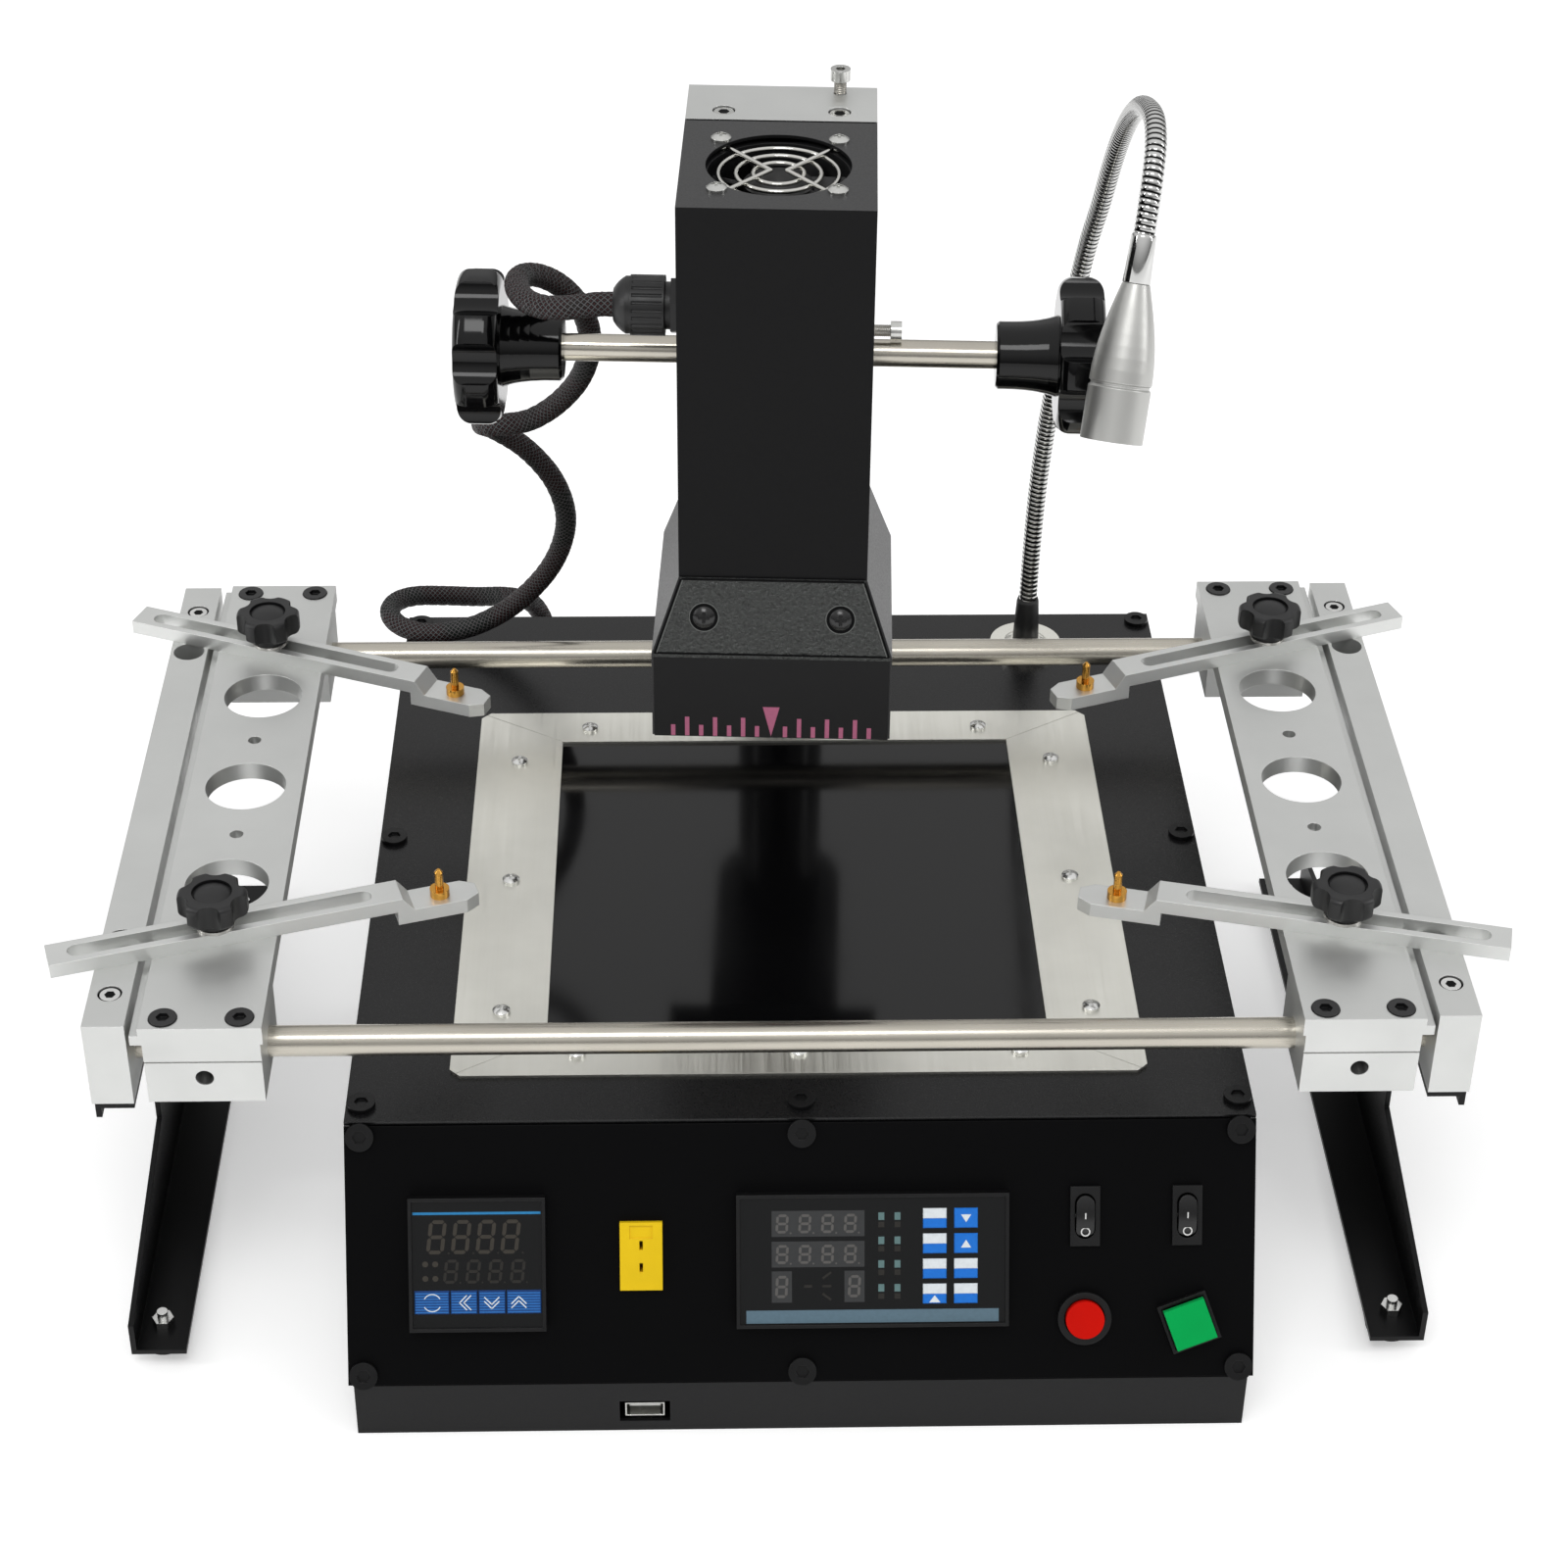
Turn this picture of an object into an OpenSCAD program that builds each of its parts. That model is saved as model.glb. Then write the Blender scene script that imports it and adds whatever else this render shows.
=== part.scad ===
// Bench station for soldering and lifting ball grid array chips: a cabinet with a lower heater,
// a lifting upper heater on a column, a gooseneck lamp and a sliding stand for the circuit board.
// Millimetres. X right, Y back, Z up. The origin is on the bench, under the middle of the top plate.

/* [Cabinet] */
// Width of the top plate and front panel
body_w = 321; // [310:1:330]
// Depth of the top plate
body_d = 332; // [326:1:340]
// Height of the top plate
body_h = 107.5; // [105:0.5:109]
// Height of the plinth under the front panel
plinth_h = 23.5; // [22:0.5:25]
// How far the foot of the front panel stands forward of its top edge
panel_run = 46; // [44:1:48]
// Thickness of the cabinet sheet
sheet = 1.5; // [1.3:0.1:1.7]
// How far the tray sits inside the edges of the top plate
tray_inset = 1.8; // [1.5:0.1:2.2]

/* [Lower heater] */
// Width of the steel frame around the glass
frame_w = 250; // [246:1:254]
// Depth of the steel frame
frame_d = 232; // [228:1:236]
// Width of the side strips
frame_side = 34; // [32:1:36]
// Width of the front and rear strips
frame_end = 21; // [20:1:22]
// Thickness of the steel strips
frame_t = 1.2; // [1:0.1:1.5]
// Middle of the heater, along Y
heater_y = -27; // [-29:1:-25]
// Thickness of the glass
glass_t = 4; // [3:0.5:5]

/* [Board stand] */
// Middle of the stand across the cabinet
stand_x = -6.5; // [-8:0.5:-5]
// Middle of the stand, front to back
stand_y = -35.5; // [-37:0.5:-34]
// Width over the end bars
stand_w = 476; // [470:1:482]
// Length of the end bars
stand_l = 282; // [278:1:286]
// Height of the top faces of the stand
stand_h = 160; // [158:0.5:161]
// Width of an end bar
bar_w = 14.5; // [14:0.5:16]
// Height of an end bar
bar_h = 34; // [32:1:35]
// Diameter of the guide rods
rod_d = 11; // [10:0.5:12]
// Distance between the guide rods
rod_pitch = 246; // [243:1:248]
// Height of the guide rods
rod_z = 138.5; // [137.5:0.5:139.5]
// Width of a carriage plate
carriage_w = 42; // [40:1:42]
// Thickness of a carriage plate
plate_t = 7; // [6:0.5:8]
// Distance between neighbouring holes along a carriage
hole_pitch = 30.5; // [30:0.1:31]
// Diameter of the large holes in a carriage
window_d = 30; // [27:1:31]
// Diameter of the spare tapped holes in a carriage
spare_hole_d = 5; // [4:0.5:6]
// Thickness of the folded legs
leg_t = 2; // [1.5:0.1:2.5]
// Height of the rubber feet
foot_h = 6; // [5:0.5:7]

/* [Board arms] */
// Length of the slotted bar of an arm
arm_l = 128; // [124:1:132]
// Width of an arm
arm_w = 12; // [11:0.5:13]
// Thickness of an arm
arm_t = 5.5; // [5:0.5:6]
// Width of the slot
slot_w = 6.4; // [6.4:0.1:7]
// Place of the clamp stud along the arm at rest
arm_hold = 58.5; // [57:0.5:60]
// Diameter of the clamp studs
stud_d = 5.8; // [5.4:0.1:5.8]
// Diameter of the star knobs that clamp the arms
clamp_knob_d = 24.5; // [23:0.5:26]
// Slant of the front left arm
slant_front_left = 17; // [10:0.1:25]
// Slant of the front right arm
slant_front_right = 13.7; // [10:0.1:25]
// Slant of the rear left arm
slant_rear_left = 21.4; // [10:0.1:25]
// Slant of the rear right arm
slant_rear_right = 19.8; // [10:0.1:25]

/* [Column and head] */
// Middle of the column, along Y
column_y = 130; // [128:1:132]
// Diameter of the column
column_d = 36; // [34:1:38]
// Height of the column's top
column_top = 300; // [292:1:310]
// Turn of the head about the column
head_swing = -2.7; // [-3:0.1:-2.4]
// Width of the head cover
cover_w = 66; // [65:0.5:68]
// Depth of the head cover
cover_d = 71; // [70:0.5:72]
// Depth of the carriage block behind the cover
block_d = 29.5; // [29:0.5:31]
// Height of the carriage block's lower edge
block_base = 285.5; // [284.5:0.5:288]
// Height of the head's top
head_top = 405.5; // [403:0.5:408]
// Side of the square hood
hood_w = 85; // [84:0.5:87]
// Height of the hood's lower edge
hood_bottom = 204; // [203:0.5:206]
// Height of the hood's straight skirt
skirt_h = 34; // [33:0.5:35]
// Height of the whole hood
hood_h = 61; // [60:0.5:62]
// Thickness of the head's sheet
head_sheet = 1.2; // [1:0.1:1.5]
// Side of the fan frame
fan_w = 50; // [49.5:0.5:51]

/* [Head lift] */
// Diameter of the lift shaft
shaft_d = 10; // [9.5:0.5:10.5]
// Height of the lift shaft
shaft_z = 311.5; // [310:0.5:313]
// Distance between the middles of the two knobs
knob_pitch = 216.5; // [214:0.5:219]
// Diameter of the knobs
knob_d = 57; // [54:1:58]
// Thickness of the knobs
knob_t = 16; // [14:1:17]
// Teeth on the pinion
pinion_teeth = 18; // [16:1:18]
// Pitch of the teeth, as the gear module
gear_module = 0.8; // [0.7:0.05:0.8]

/* [Lamp and cable] */
// Distance of the lamp's base from the right edge of the cabinet
lamp_edge = 55.5; // [54.5:0.5:56.5]
// Place of the lamp's base, along Y
lamp_y = 140; // [139:0.5:141]
// Diameter of the gooseneck
neck_d = 7.8; // [7.4:0.2:8.2]
// Diameter of the lamp head
lamp_d = 22; // [20:1:23]
// Diameter of the braided cable
cable_d = 8.6; // [8:0.2:9]

/* [Clearances] */
// Running clearance on radius between a rod and its bore
run_fit = 0.05; // [0.03:0.01:0.08]
// Side clearance of sliding ways
slide_gap = 0.1; // [0.08:0.01:0.15]
// Clearance around moving caps and studs
free_gap = 0.4; // [0.35:0.05:0.5]
// Clearance on radius around a screw
screw_gap = 0.2; // [0.15:0.05:0.3]
// Clearance between two ends that are fixed face to face
seat_gap = 0.05; // [0.02:0.01:0.1]

/* [Hidden] */
$fn = 48;
eps = 0.01;

// Colours
black_paint = [0.13, 0.13, 0.14];
dark_plastic = [0.07, 0.07, 0.08];
bare_metal = [0.78, 0.79, 0.78];
bright_steel = [0.72, 0.72, 0.70];
brass_tone = [0.80, 0.60, 0.25];

// Cabinet
back_y = body_d / 2;
front_y = -back_y;
under_top = body_h - sheet;
tray_w = body_w - 2 * tray_inset;
tray_back = back_y - tray_inset;
tray_front = front_y - panel_run + 1;
panel_rise = body_h - plinth_h;
panel_angle = atan(panel_run / panel_rise);
panel_len = sqrt(panel_run * panel_run + panel_rise * panel_rise);
panel_tilt = 90 - panel_angle;
panel_ends = [1.5, panel_len - 1];
flange_w = 13;
screw_edge = 5.5;
head_screw_d = 10;
small_shank = 3.8;
plate_screws = concat(
    [for (x = [-1, 0, 1]) [x * (body_w / 2 - screw_edge), front_y + 9]],
    [for (x = [-1, 1]) [x * (body_w / 2 - screw_edge), 2.5]],
    [for (x = [-1, 1]) [x * (body_w / 2 - screw_edge), back_y - 4.5 - tray_inset]]
);
panel_screws = [for (x = [-1, 0, 1], v = [5.2, 91]) [x * (body_w / 2 - screw_edge), v]];
vent = [3, 38];
vent_pitch = 8;
inlet = [body_w / 2 - 65.5, 42];
inlet_size = [48, 24];
back_gland = [-104, 52];
usb_x = -56;
usb_z = 9.5;
usb_hole = [18, 10];

// Panel controls: middles measured across from the centre line and down the slope
panel_edge = body_w / 2;
lower_controller = [46.3 - panel_edge, 50.4];
upper_controller = [24.8, 50.3];
controller_side = 48;
controller_bezel = 5;
controller_depth = 60;
socket_at = [-56.7, 48.5];
socket_size = [15, 24.4];
light_switch = [panel_edge - 60.5, 35.8];
fan_switch = [panel_edge - 24.3, 35.8];
switch_size = [10.5, 21.5];
rocker_size = [6.4, 15.6];
rocker_rest = 7;
rocker_r = 22;
rocker_pin_d = 2;
stop_at = [panel_edge - 60.5, 72.7];
start_at = [panel_edge - 23.3, 74.4];
start_turn = 20;
button_bezel_d = 19;
button_barrel_d = 16;
button_cap_d = 13.6;
button_square = 18;
button_cap_side = 15;
button_proud = 4.5;
button_well = 9;

// Lower heater
frame_top = body_h + frame_t;
glass_lap = 4;
glass_w = frame_w - 2 * frame_side + 2 * glass_lap;
glass_d = frame_d - 2 * frame_end + 2 * glass_lap;
glass_slack = 0.5;
heater_tray_h = 44;
frame_screws = concat(
    [for (x = [-80, 0, 80]) [x, frame_d / 2 - 12]],
    [for (x = [-80, 0, 80]) [x, -frame_d / 2 + 12]],
    [for (x = [-1, 1], y = [-80, 0, 80]) [x * (frame_w / 2 - frame_side / 2), y]]
);

// Board stand
rod_y = rod_pitch / 2;
bar_x = stand_w / 2 - bar_w;
rod_seat = 10;
carriage_x = stand_w / 2 - bar_w - 4.5 - carriage_w / 2;
ledge_w = 3;
ledge_t = 3;
block_size = [40, 38];
block_top = stand_h - plate_t;
block_bottom = stand_h - bar_h + 2;
carriage_l = stand_l + 3;
cap_screw_d = 9.6;
cap_screw_h = 3;
cap_sink = 2.5;
cap_screw_x = 13;
plate_screw_y = carriage_l / 2 - 6;
hold_y = 3 * hole_pitch;
bar_screw_d = 7;
bar_screw_h = 3;
bar_screw_sink = bar_screw_h + free_gap;
bar_bolt_y = 93;
bar_bolt_d = 12;
leg_top = stand_h - bar_h;
leg_web_x = stand_w / 2 - 1;
leg_flange = 20;
foot_d = 20;
foot_y = stand_l / 2 - 14;

// Board arms
tip_start = arm_l - 6;
tip_end = arm_l + 24;
pin_at = arm_l + 10.5;
arm_bevel = 4;
slot_end = 7;
slot_far = arm_l - 14;
washer_t = 1.2;
washer_d = 14;
knob_hub_h = 4;
knob_h = 13;
cap_d = 14;
arm_turns = [slant_front_left, 180 - slant_front_right, -slant_rear_left, 180 + slant_rear_right];
hold_x = [-carriage_x, carriage_x, -carriage_x, carriage_x];
hold_rows = [-hold_y, -hold_y, hold_y, hold_y];

// Head, before its turn about the column
cover_front = -61;
cover_back = cover_front + cover_d;
block_back = cover_back + block_d;
cover_bottom = hood_bottom + hood_h;
hood_front = -69.5;
hood_mid = hood_front + hood_w / 2;
hood_screw_x = 24;
fan_mid = cover_front + cover_d / 2 - 1;
fan_hole_d = 49;
fan_screw_pitch = 40;
fan_t = 15;
guard_wire = 1.6;
guard_rings = [20.3, 14.3, 8.5];
fan_top = head_top - head_sheet - guard_wire;
block_h = head_top - block_base;
block_roof = 9;
gland_y = -17;
gland_z = 348;
gland_reach = 22.5;

// Head lift
pitch_r = gear_module * pinion_teeth / 2;
tooth_pitch = PI * gear_module;
tooth_slack = 0.12;
shaft_y = 21;
rack_line = shaft_y + pitch_r;
rack_tip = rack_line - gear_module;
rack_root = rack_line + 1.25 * gear_module;
rack_head_w = 22;
rack_neck_w = 10;
rack_step = rack_line + 5.5;
rack_foot = 48;
pinion_w = 10;
arm_top = 262;
head_arm_h = 40;
head_arm_w = 54;
ear_w = 20;
clamp_y = column_y + head_arm_w / 2 + 6;
clamp_z = arm_top - head_arm_h / 2;
column_flange_d = 64;
flange_h = 8;
flange_screw_r = 26;
rack_top = head_top - block_roof - 16;
rack_teeth_low = shaft_z - 26;
rack_tooth_count = floor((rack_top - 4 - rack_teeth_low) / tooth_pitch);
knob_hub_d = 24.5;
knob_hub_l = 30;
knob_edge = 5;
hub_flare = 2.5;
hub_run = knob_hub_l - knob_t / 2 - 1;
shaft_l = knob_pitch - 4;

// Lamp
lamp_x = body_w / 2 - lamp_edge;
lamp_base_h = 5;
ferrule_l = 16;
ferrule_wall = 1;
sleeve_wall = 1.5;
bell_l = 34;
lamp_l = 54.5;
groove = 0.7;

// Round helpers
module rod_along_x(d, l) { rotate([0, 90, 0]) cylinder(d = d, h = l, center = true); }
module rod_along_y(d, l) { rotate([90, 0, 0]) cylinder(d = d, h = l, center = true); }
module socket_screw(d, h, shank, l) {
    difference() {
        cylinder(d = d, h = h);
        translate([0, 0, h - 0.55 * h]) cylinder(d = d / 2, h = h, $fn = 6);
    }
    translate([0, 0, -l]) cylinder(d = shank, h = l + eps);
}
module pan_screw(d, h, shank, l) {
    difference() {
        intersection() {
            cylinder(d = d, h = h);
            translate([0, 0, h - d * 0.75]) sphere(d = d * 1.5);
        }
        for (a = [0, 90]) rotate([0, 0, a]) translate([-d / 4, -d / 14, h * 0.55]) cube([d / 2, d / 7, h]);
    }
    translate([0, 0, -l]) cylinder(d = shank, h = l + eps);
}
module stadium(w, l, h) {
    for (s = [-1, 1]) translate([0, s * (l - w) / 2, 0]) cylinder(d = w, h = h);
    translate([-w / 2, -(l - w) / 2, 0]) cube([w, l - w, h]);
}
// A plate centred on its place, from height z
module slab(w, l, z, h) { translate([-w / 2, -l / 2, z]) cube([w, l, h]); }
module rounded_square(w, r, h) {
    for (x = [-1, 1], y = [-1, 1]) translate([x * (w / 2 - r), y * (w / 2 - r), 0]) cylinder(r = r, h = h);
    translate([-w / 2, -w / 2 + r, 0]) cube([w, w - 2 * r, h]);
    translate([-w / 2 + r, -w / 2, 0]) cube([w - 2 * r, w, h]);
}
// A disc whose two rims are rounded
module rounded_disc(d, h, edge) {
    rotate_extrude() {
        square([d / 2 - edge, h]);
        translate([0, edge]) square([d / 2, h - 2 * edge]);
        for (z = [edge, h - edge]) translate([d / 2 - edge, z]) circle(r = edge);
    }
}
// A rounded disc with hollows bitten out of its rim
module star(d, lobes, bite, h, edge) {
    difference() {
        rounded_disc(d, h, edge);
        for (i = [0 : lobes - 1]) rotate([0, 0, (i + 0.5) * 360 / lobes])
            translate([d / 2 + bite * 0.42, 0, -1]) cylinder(r = bite, h = h + 2);
    }
}

// Places
module on_panel(at) {
    translate([at[0], front_y - at[1] * sin(panel_angle), body_h - at[1] * cos(panel_angle)])
        rotate([panel_tilt, 0, 0]) children();
}
module at_stand() { translate([stand_x, stand_y, 0]) children(); }
module at_head() {
    translate([0, column_y, 0]) rotate([0, 0, head_swing]) translate([0, -column_y, 0]) children();
}
// A point of the head, turned about the column as at_head turns it
function head_turned(p) = let (x = p[0], y = p[1] - column_y, c = cos(head_swing), s = sin(head_swing))
    [x * c - y * s, column_y + x * s + y * c, p[2]];
module at_hold(i) { at_stand() translate([hold_x[i], hold_rows[i], stand_h]) children(); }
module at_arm(i) { at_hold(i) rotate([0, 0, arm_turns[i]]) translate([-arm_hold, 0, 0]) children(); }

// Tube swept along a smooth curve through a list of points
function along(a, b, c, d, t) = 0.5 * (2 * b + (c - a) * t + (2 * a - 5 * b + 4 * c - d) * t * t
    + (3 * b - a - 3 * c + d) * t * t * t);
function smooth(p, n) = let (last = len(p) - 1) concat(
    [for (i = [0 : last - 1], k = [0 : n - 1])
        along(p[max(i - 1, 0)], p[i], p[i + 1], p[min(i + 2, last)], k / n)],
    [p[last]]);
function unit(v) = v / norm(v);
function heading(p, i) = unit(p[min(i + 1, len(p) - 1)] - p[max(i - 1, 0)]);
function carried(side, t) = unit(side - (side * t) * t);
function sides(p, i = 0, found = []) = i == len(p) ? found
    : sides(p, i + 1, concat(found, [carried(i == 0 ? [0.31, 0.52, 0.79] : found[i - 1], heading(p, i))]));
module swept_tube(points, d, n, around, first, last) {
    p = smooth(points, n);
    side = sides(p);
    count = len(p);
    ends = [for (i = [0 : count - 1]) i == 0 ? first : i == count - 1 ? last : heading(p, i)];
    rings = [for (i = [0 : count - 1]) let (s = carried(side[i], ends[i]), c = cross(ends[i], s))
        for (k = [0 : around - 1]) p[i] + d / 2 * (cos(360 * k / around) * s + sin(360 * k / around) * c)];
    walls = [for (i = [0 : count - 2], k = [0 : around - 1]) let (k2 = (k + 1) % around)
        [i * around + k, (i + 1) * around + k, (i + 1) * around + k2, i * around + k2]];
    caps = [[for (k = [0 : around - 1]) k], [for (k = [around - 1 : -1 : 0]) (count - 1) * around + k]];
    polyhedron(rings, concat(walls, caps));
}

// Routes, as points on their middle lines
// The neck starts on its sleeve, from the middle of the lamp's base on the top plate
sleeve_top = 24.5;
neck_route = [[0, 0, sleeve_top], [0.3, 0, 50], [1, -0.5, 75], [2.2, -2, 98], [3.9, -5.5, 122],
    [7.1, -12, 154], [11.2, -24, 197], [14.4, -33, 221], [16.2, -43, 241.5], [17.2, -55, 258],
    [17.8, -73, 274.5], [18.3, -96, 288.5], [19, -119, 294.5], [18.4, -133, 291.5], [16.9, -142.5, 284.5],
    [15.4, -148.5, 275.5], [13.8, -153, 265]];
neck_end = unit([-2.7, -7.8, -17]);
cable_top_route = [[-75, -13.4, 347], [-81.8, -11.6, 345.4], [-88.6, -7.2, 343.6],
    [-94.3, -0.2, 342.3], [-98, 9, 341.6], [-99, 18, 341], [-96.8, 27, 339], [-92, 34.5, 335.2],
    [-86, 40.6, 329.2], [-80.4, 46, 320.8], [-76.6, 52, 310.4], [-75, 58, 298.5], [-76.2, 64, 286.3],
    [-80, 69.5, 274.5], [-86, 74.5, 264.3], [-93, 78, 256.4], [-101, 80, 251]];
cable_low_route = [[-101, 80, 251], [-110, 81.6, 248.6], [-117, 87, 245.3], [-119.5, 96, 240.6],
    [-115, 106.5, 232.5], [-104, 114.5, 219.5], [-94, 121, 202], [-89.5, 126, 183], [-92, 132, 164],
    [-100, 137, 146], [-114, 142.5, 128], [-130.5, 145, 116.5], [-147, 145, 112.6],
    [-157.5, 147.3, 112.5], [-165.3, 153.6, 112.8], [-168.4, 162.5, 113], [-165.6, 171.3, 112.6],
    [-158, 178, 111], [-146.5, 183.6, 107.6], [-133, 192.5, 101.5], [-120.5, 207, 92.5],
    [-111, 218.3, 82.5], [-105.8, 222, 71], [-104.2, 219.6, 61.3], [-104, 213, 54.5],
    [-104, 203.5, 52], [-104, 188, 52]];
cable_end = cable_low_route[len(cable_low_route) - 1];

// Cabinet pieces
function panel_back(z) = front_y - (body_h - z) * tan(panel_angle) + sheet / cos(panel_angle);
module side_wall() {
    rotate([90, 0, 90]) linear_extrude(sheet) polygon([
        [tray_front, 0], [tray_back, 0], [tray_back, under_top], [panel_back(under_top), under_top],
        [panel_back(plinth_h), plinth_h], [tray_front, plinth_h]]);
}
module base_tray() {
    color(black_paint) difference() {
        union() {
            translate([-tray_w / 2, tray_front, 0]) cube([tray_w, tray_back - tray_front, sheet]);
            translate([-tray_w / 2, tray_front, 0]) cube([tray_w, sheet, plinth_h]);
            translate([-tray_w / 2, tray_back - sheet, 0]) cube([tray_w, sheet, under_top]);
            for (x = [-tray_w / 2, tray_w / 2 - sheet]) translate([x, 0, 0]) side_wall();
            for (x = [-tray_w / 2, tray_w / 2 - flange_w])
                translate([x, panel_back(under_top) + 4, under_top - sheet])
                    cube([flange_w, tray_back - panel_back(under_top) - 4, sheet]);
            translate([-tray_w / 2, tray_back - flange_w, under_top - sheet]) cube([tray_w, flange_w, sheet]);
            for (x = [-tray_w / 2, tray_w / 2 - flange_w]) on_panel([x, panel_len])
                translate([0, 3, -2 * sheet]) cube([flange_w, panel_len - 8, sheet]);
        }
        for (p = plate_screws) translate([p[0], p[1], under_top - 2 * sheet])
            cylinder(d = small_shank + 2 * screw_gap, h = 3 * sheet);
        for (p = panel_screws) on_panel(p) translate([0, 0, -3 * sheet])
            cylinder(d = small_shank + 2 * screw_gap, h = 3 * sheet);
        translate([usb_x - usb_hole[0] / 2, tray_front - 1, usb_z - usb_hole[1] / 2])
            cube([usb_hole[0], sheet + 2, usb_hole[1]]);
        for (i = [-6 : 6]) translate([i * vent_pitch, tray_back, 55])
            rotate([90, 0, 0]) stadium(vent[0], vent[1], 4 * sheet);
        translate([inlet[0] - 14, tray_back - 2 * sheet, inlet[1] - 10]) cube([28, 4 * sheet, 20]);
        translate([back_gland[0], tray_back, back_gland[1]]) rod_along_y(16.4, 6 * sheet);
    }
}
module top_plate() {
    color(black_paint) difference() {
        translate([-body_w / 2, front_y, under_top]) cube([body_w, body_d, sheet]);
        translate([-glass_w / 2 - glass_slack, heater_y - glass_d / 2 - glass_slack, under_top - 1])
            cube([glass_w + 2 * glass_slack, glass_d + 2 * glass_slack, sheet + 2]);
        for (p = plate_screws) translate([p[0], p[1], under_top - 1])
            cylinder(d = small_shank + 2 * screw_gap, h = sheet + 2);
    }
}
module panel_cut(at, w, h) {
    on_panel(at) translate([-w / 2, -h / 2, -3 * sheet]) cube([w, h, 5 * sheet]);
}
module front_panel() {
    color(black_paint) difference() {
        on_panel([0, panel_ends[1]]) translate([-body_w / 2, 0, -sheet])
            cube([body_w, panel_ends[1] - panel_ends[0], sheet]);
        for (p = panel_screws) on_panel(p) translate([0, 0, -2 * sheet])
            cylinder(d = small_shank + 2 * screw_gap, h = 3 * sheet);
        panel_cut(lower_controller, controller_side - 3, controller_side - 3);
        panel_cut(upper_controller, 2 * controller_side - 4, controller_side - 3);
        panel_cut(socket_at, socket_size[0] - 1.6, socket_size[1] - 1.6);
        for (s = [light_switch, fan_switch]) panel_cut(s, switch_size[0] - 1, switch_size[1] - 2);
        for (b = [stop_at, start_at]) on_panel(b) translate([0, 0, -2 * sheet])
            cylinder(d = button_barrel_d + 2 * screw_gap, h = 3 * sheet);
    }
}
module flat_screw() { socket_screw(head_screw_d, 1.8, small_shank, 2 * sheet + 0.2); }
module black_screws() {
    color(dark_plastic) {
        for (p = plate_screws) translate([p[0], p[1], body_h]) flat_screw();
        for (p = panel_screws) on_panel(p) flat_screw();
        at_stand() for (s = [-1, 1], y = [-1, 1])
            translate([s * (bar_x + bar_w / 2), y * bar_bolt_y, leg_top + 8])
                socket_screw(bar_bolt_d - 2, 6, 5, 8 + leg_t + 3);
        translate([0, column_y, body_h]) at_flange_screws() socket_screw(6.2, 4, small_shank, 3);
        at_head() translate([ear_w / 2, clamp_y, clamp_z]) rotate([0, 90, 0]) socket_screw(9, 5, 5, ear_w);
    }
}

// Lower heater
module lower_heater() {
    w = glass_w + 2 * glass_slack + 2;
    d = glass_d + 2 * glass_slack + 2;
    color(bare_metal) translate([0, heater_y, under_top - heater_tray_h]) {
        difference() {
            translate([-w / 2, -d / 2, 0]) cube([w, d, heater_tray_h]);
            translate([-w / 2 + 1, -d / 2 + 1, 1]) cube([w - 2, d - 2, heater_tray_h]);
        }
        for (x = [-1, 1], y = [-1, 1]) translate([x * (w / 2 - 6) - 5, y * (d / 2 - 6) - 5, 1 - eps])
            cube([10, 10, heater_tray_h + sheet - glass_t - 1 + eps]);
    }
    color([0.86, 0.84, 0.80]) translate([0, heater_y, under_top - heater_tray_h + 1])
        for (y = [-1, 0, 1]) translate([0, y * 62, 0]) {
            slab(176, 54, 18, 10);
            for (x = [-60, 60]) translate([x, 0, 0]) cylinder(d = 12, h = 18 + eps);
        }
}
module heater_glass() {
    color([0.02, 0.02, 0.03]) translate([-glass_w / 2, heater_y - glass_d / 2, body_h - glass_t])
        cube([glass_w, glass_d, glass_t]);
}
// One strip with mitred ends, along X, its outer edge at y
module frame_strip(l, w) {
    corner = 5;
    linear_extrude(frame_t) difference() {
        polygon([[-l / 2, 0], [l / 2, 0], [l / 2 - frame_side, -w], [-l / 2 + frame_side, -w]]);
        for (s = [-1, 1]) translate([s * l / 2, 0]) rotate(45) square(corner, center = true);
    }
}
module side_strip(d) {
    corner = 5;
    linear_extrude(frame_t) difference() {
        polygon([[0, -d / 2], [0, d / 2],
            [-frame_side, d / 2 - frame_end], [-frame_side, -d / 2 + frame_end]]);
        for (s = [-1, 1]) translate([0, s * d / 2]) rotate(45) square(corner, center = true);
    }
}
module heater_frame() {
    color(bright_steel) difference() {
        translate([0, heater_y, body_h]) for (s = [0, 180]) rotate([0, 0, s]) {
            translate([0, frame_d / 2 - 0.15, 0]) frame_strip(frame_w - 0.4, frame_end);
            translate([frame_w / 2 - 0.05, 0, 0]) side_strip(frame_d - 0.5);
        }
        for (p = frame_screws) translate([p[0], heater_y + p[1], body_h - 1])
            cylinder(d = 3 + 2 * screw_gap, h = frame_t + 2);
    }
}
module steel_screws() {
    color(bright_steel) {
        for (p = frame_screws) translate([p[0], heater_y + p[1], frame_top]) pan_screw(6.5, 2.4, 3, frame_t);
        at_stand() for (s = [-1, 1], y = [-1, 1]) {
            translate([s * (bar_x + bar_w / 2), y * rod_y, stand_h - bar_screw_sink])
                socket_screw(bar_screw_d, bar_screw_h, 4,
                    stand_h - bar_screw_sink - rod_z - rod_d / 2 - 0.5);
            translate([s * (leg_web_x - leg_flange / 2), y * foot_y, foot_h + leg_t])
                cylinder(d = 4, h = 6);
            translate([s * (leg_web_x - leg_flange / 2), y * foot_y, foot_h + leg_t])
                cylinder(d = 8, h = 3, $fn = 6);
        }
    }
}

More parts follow.
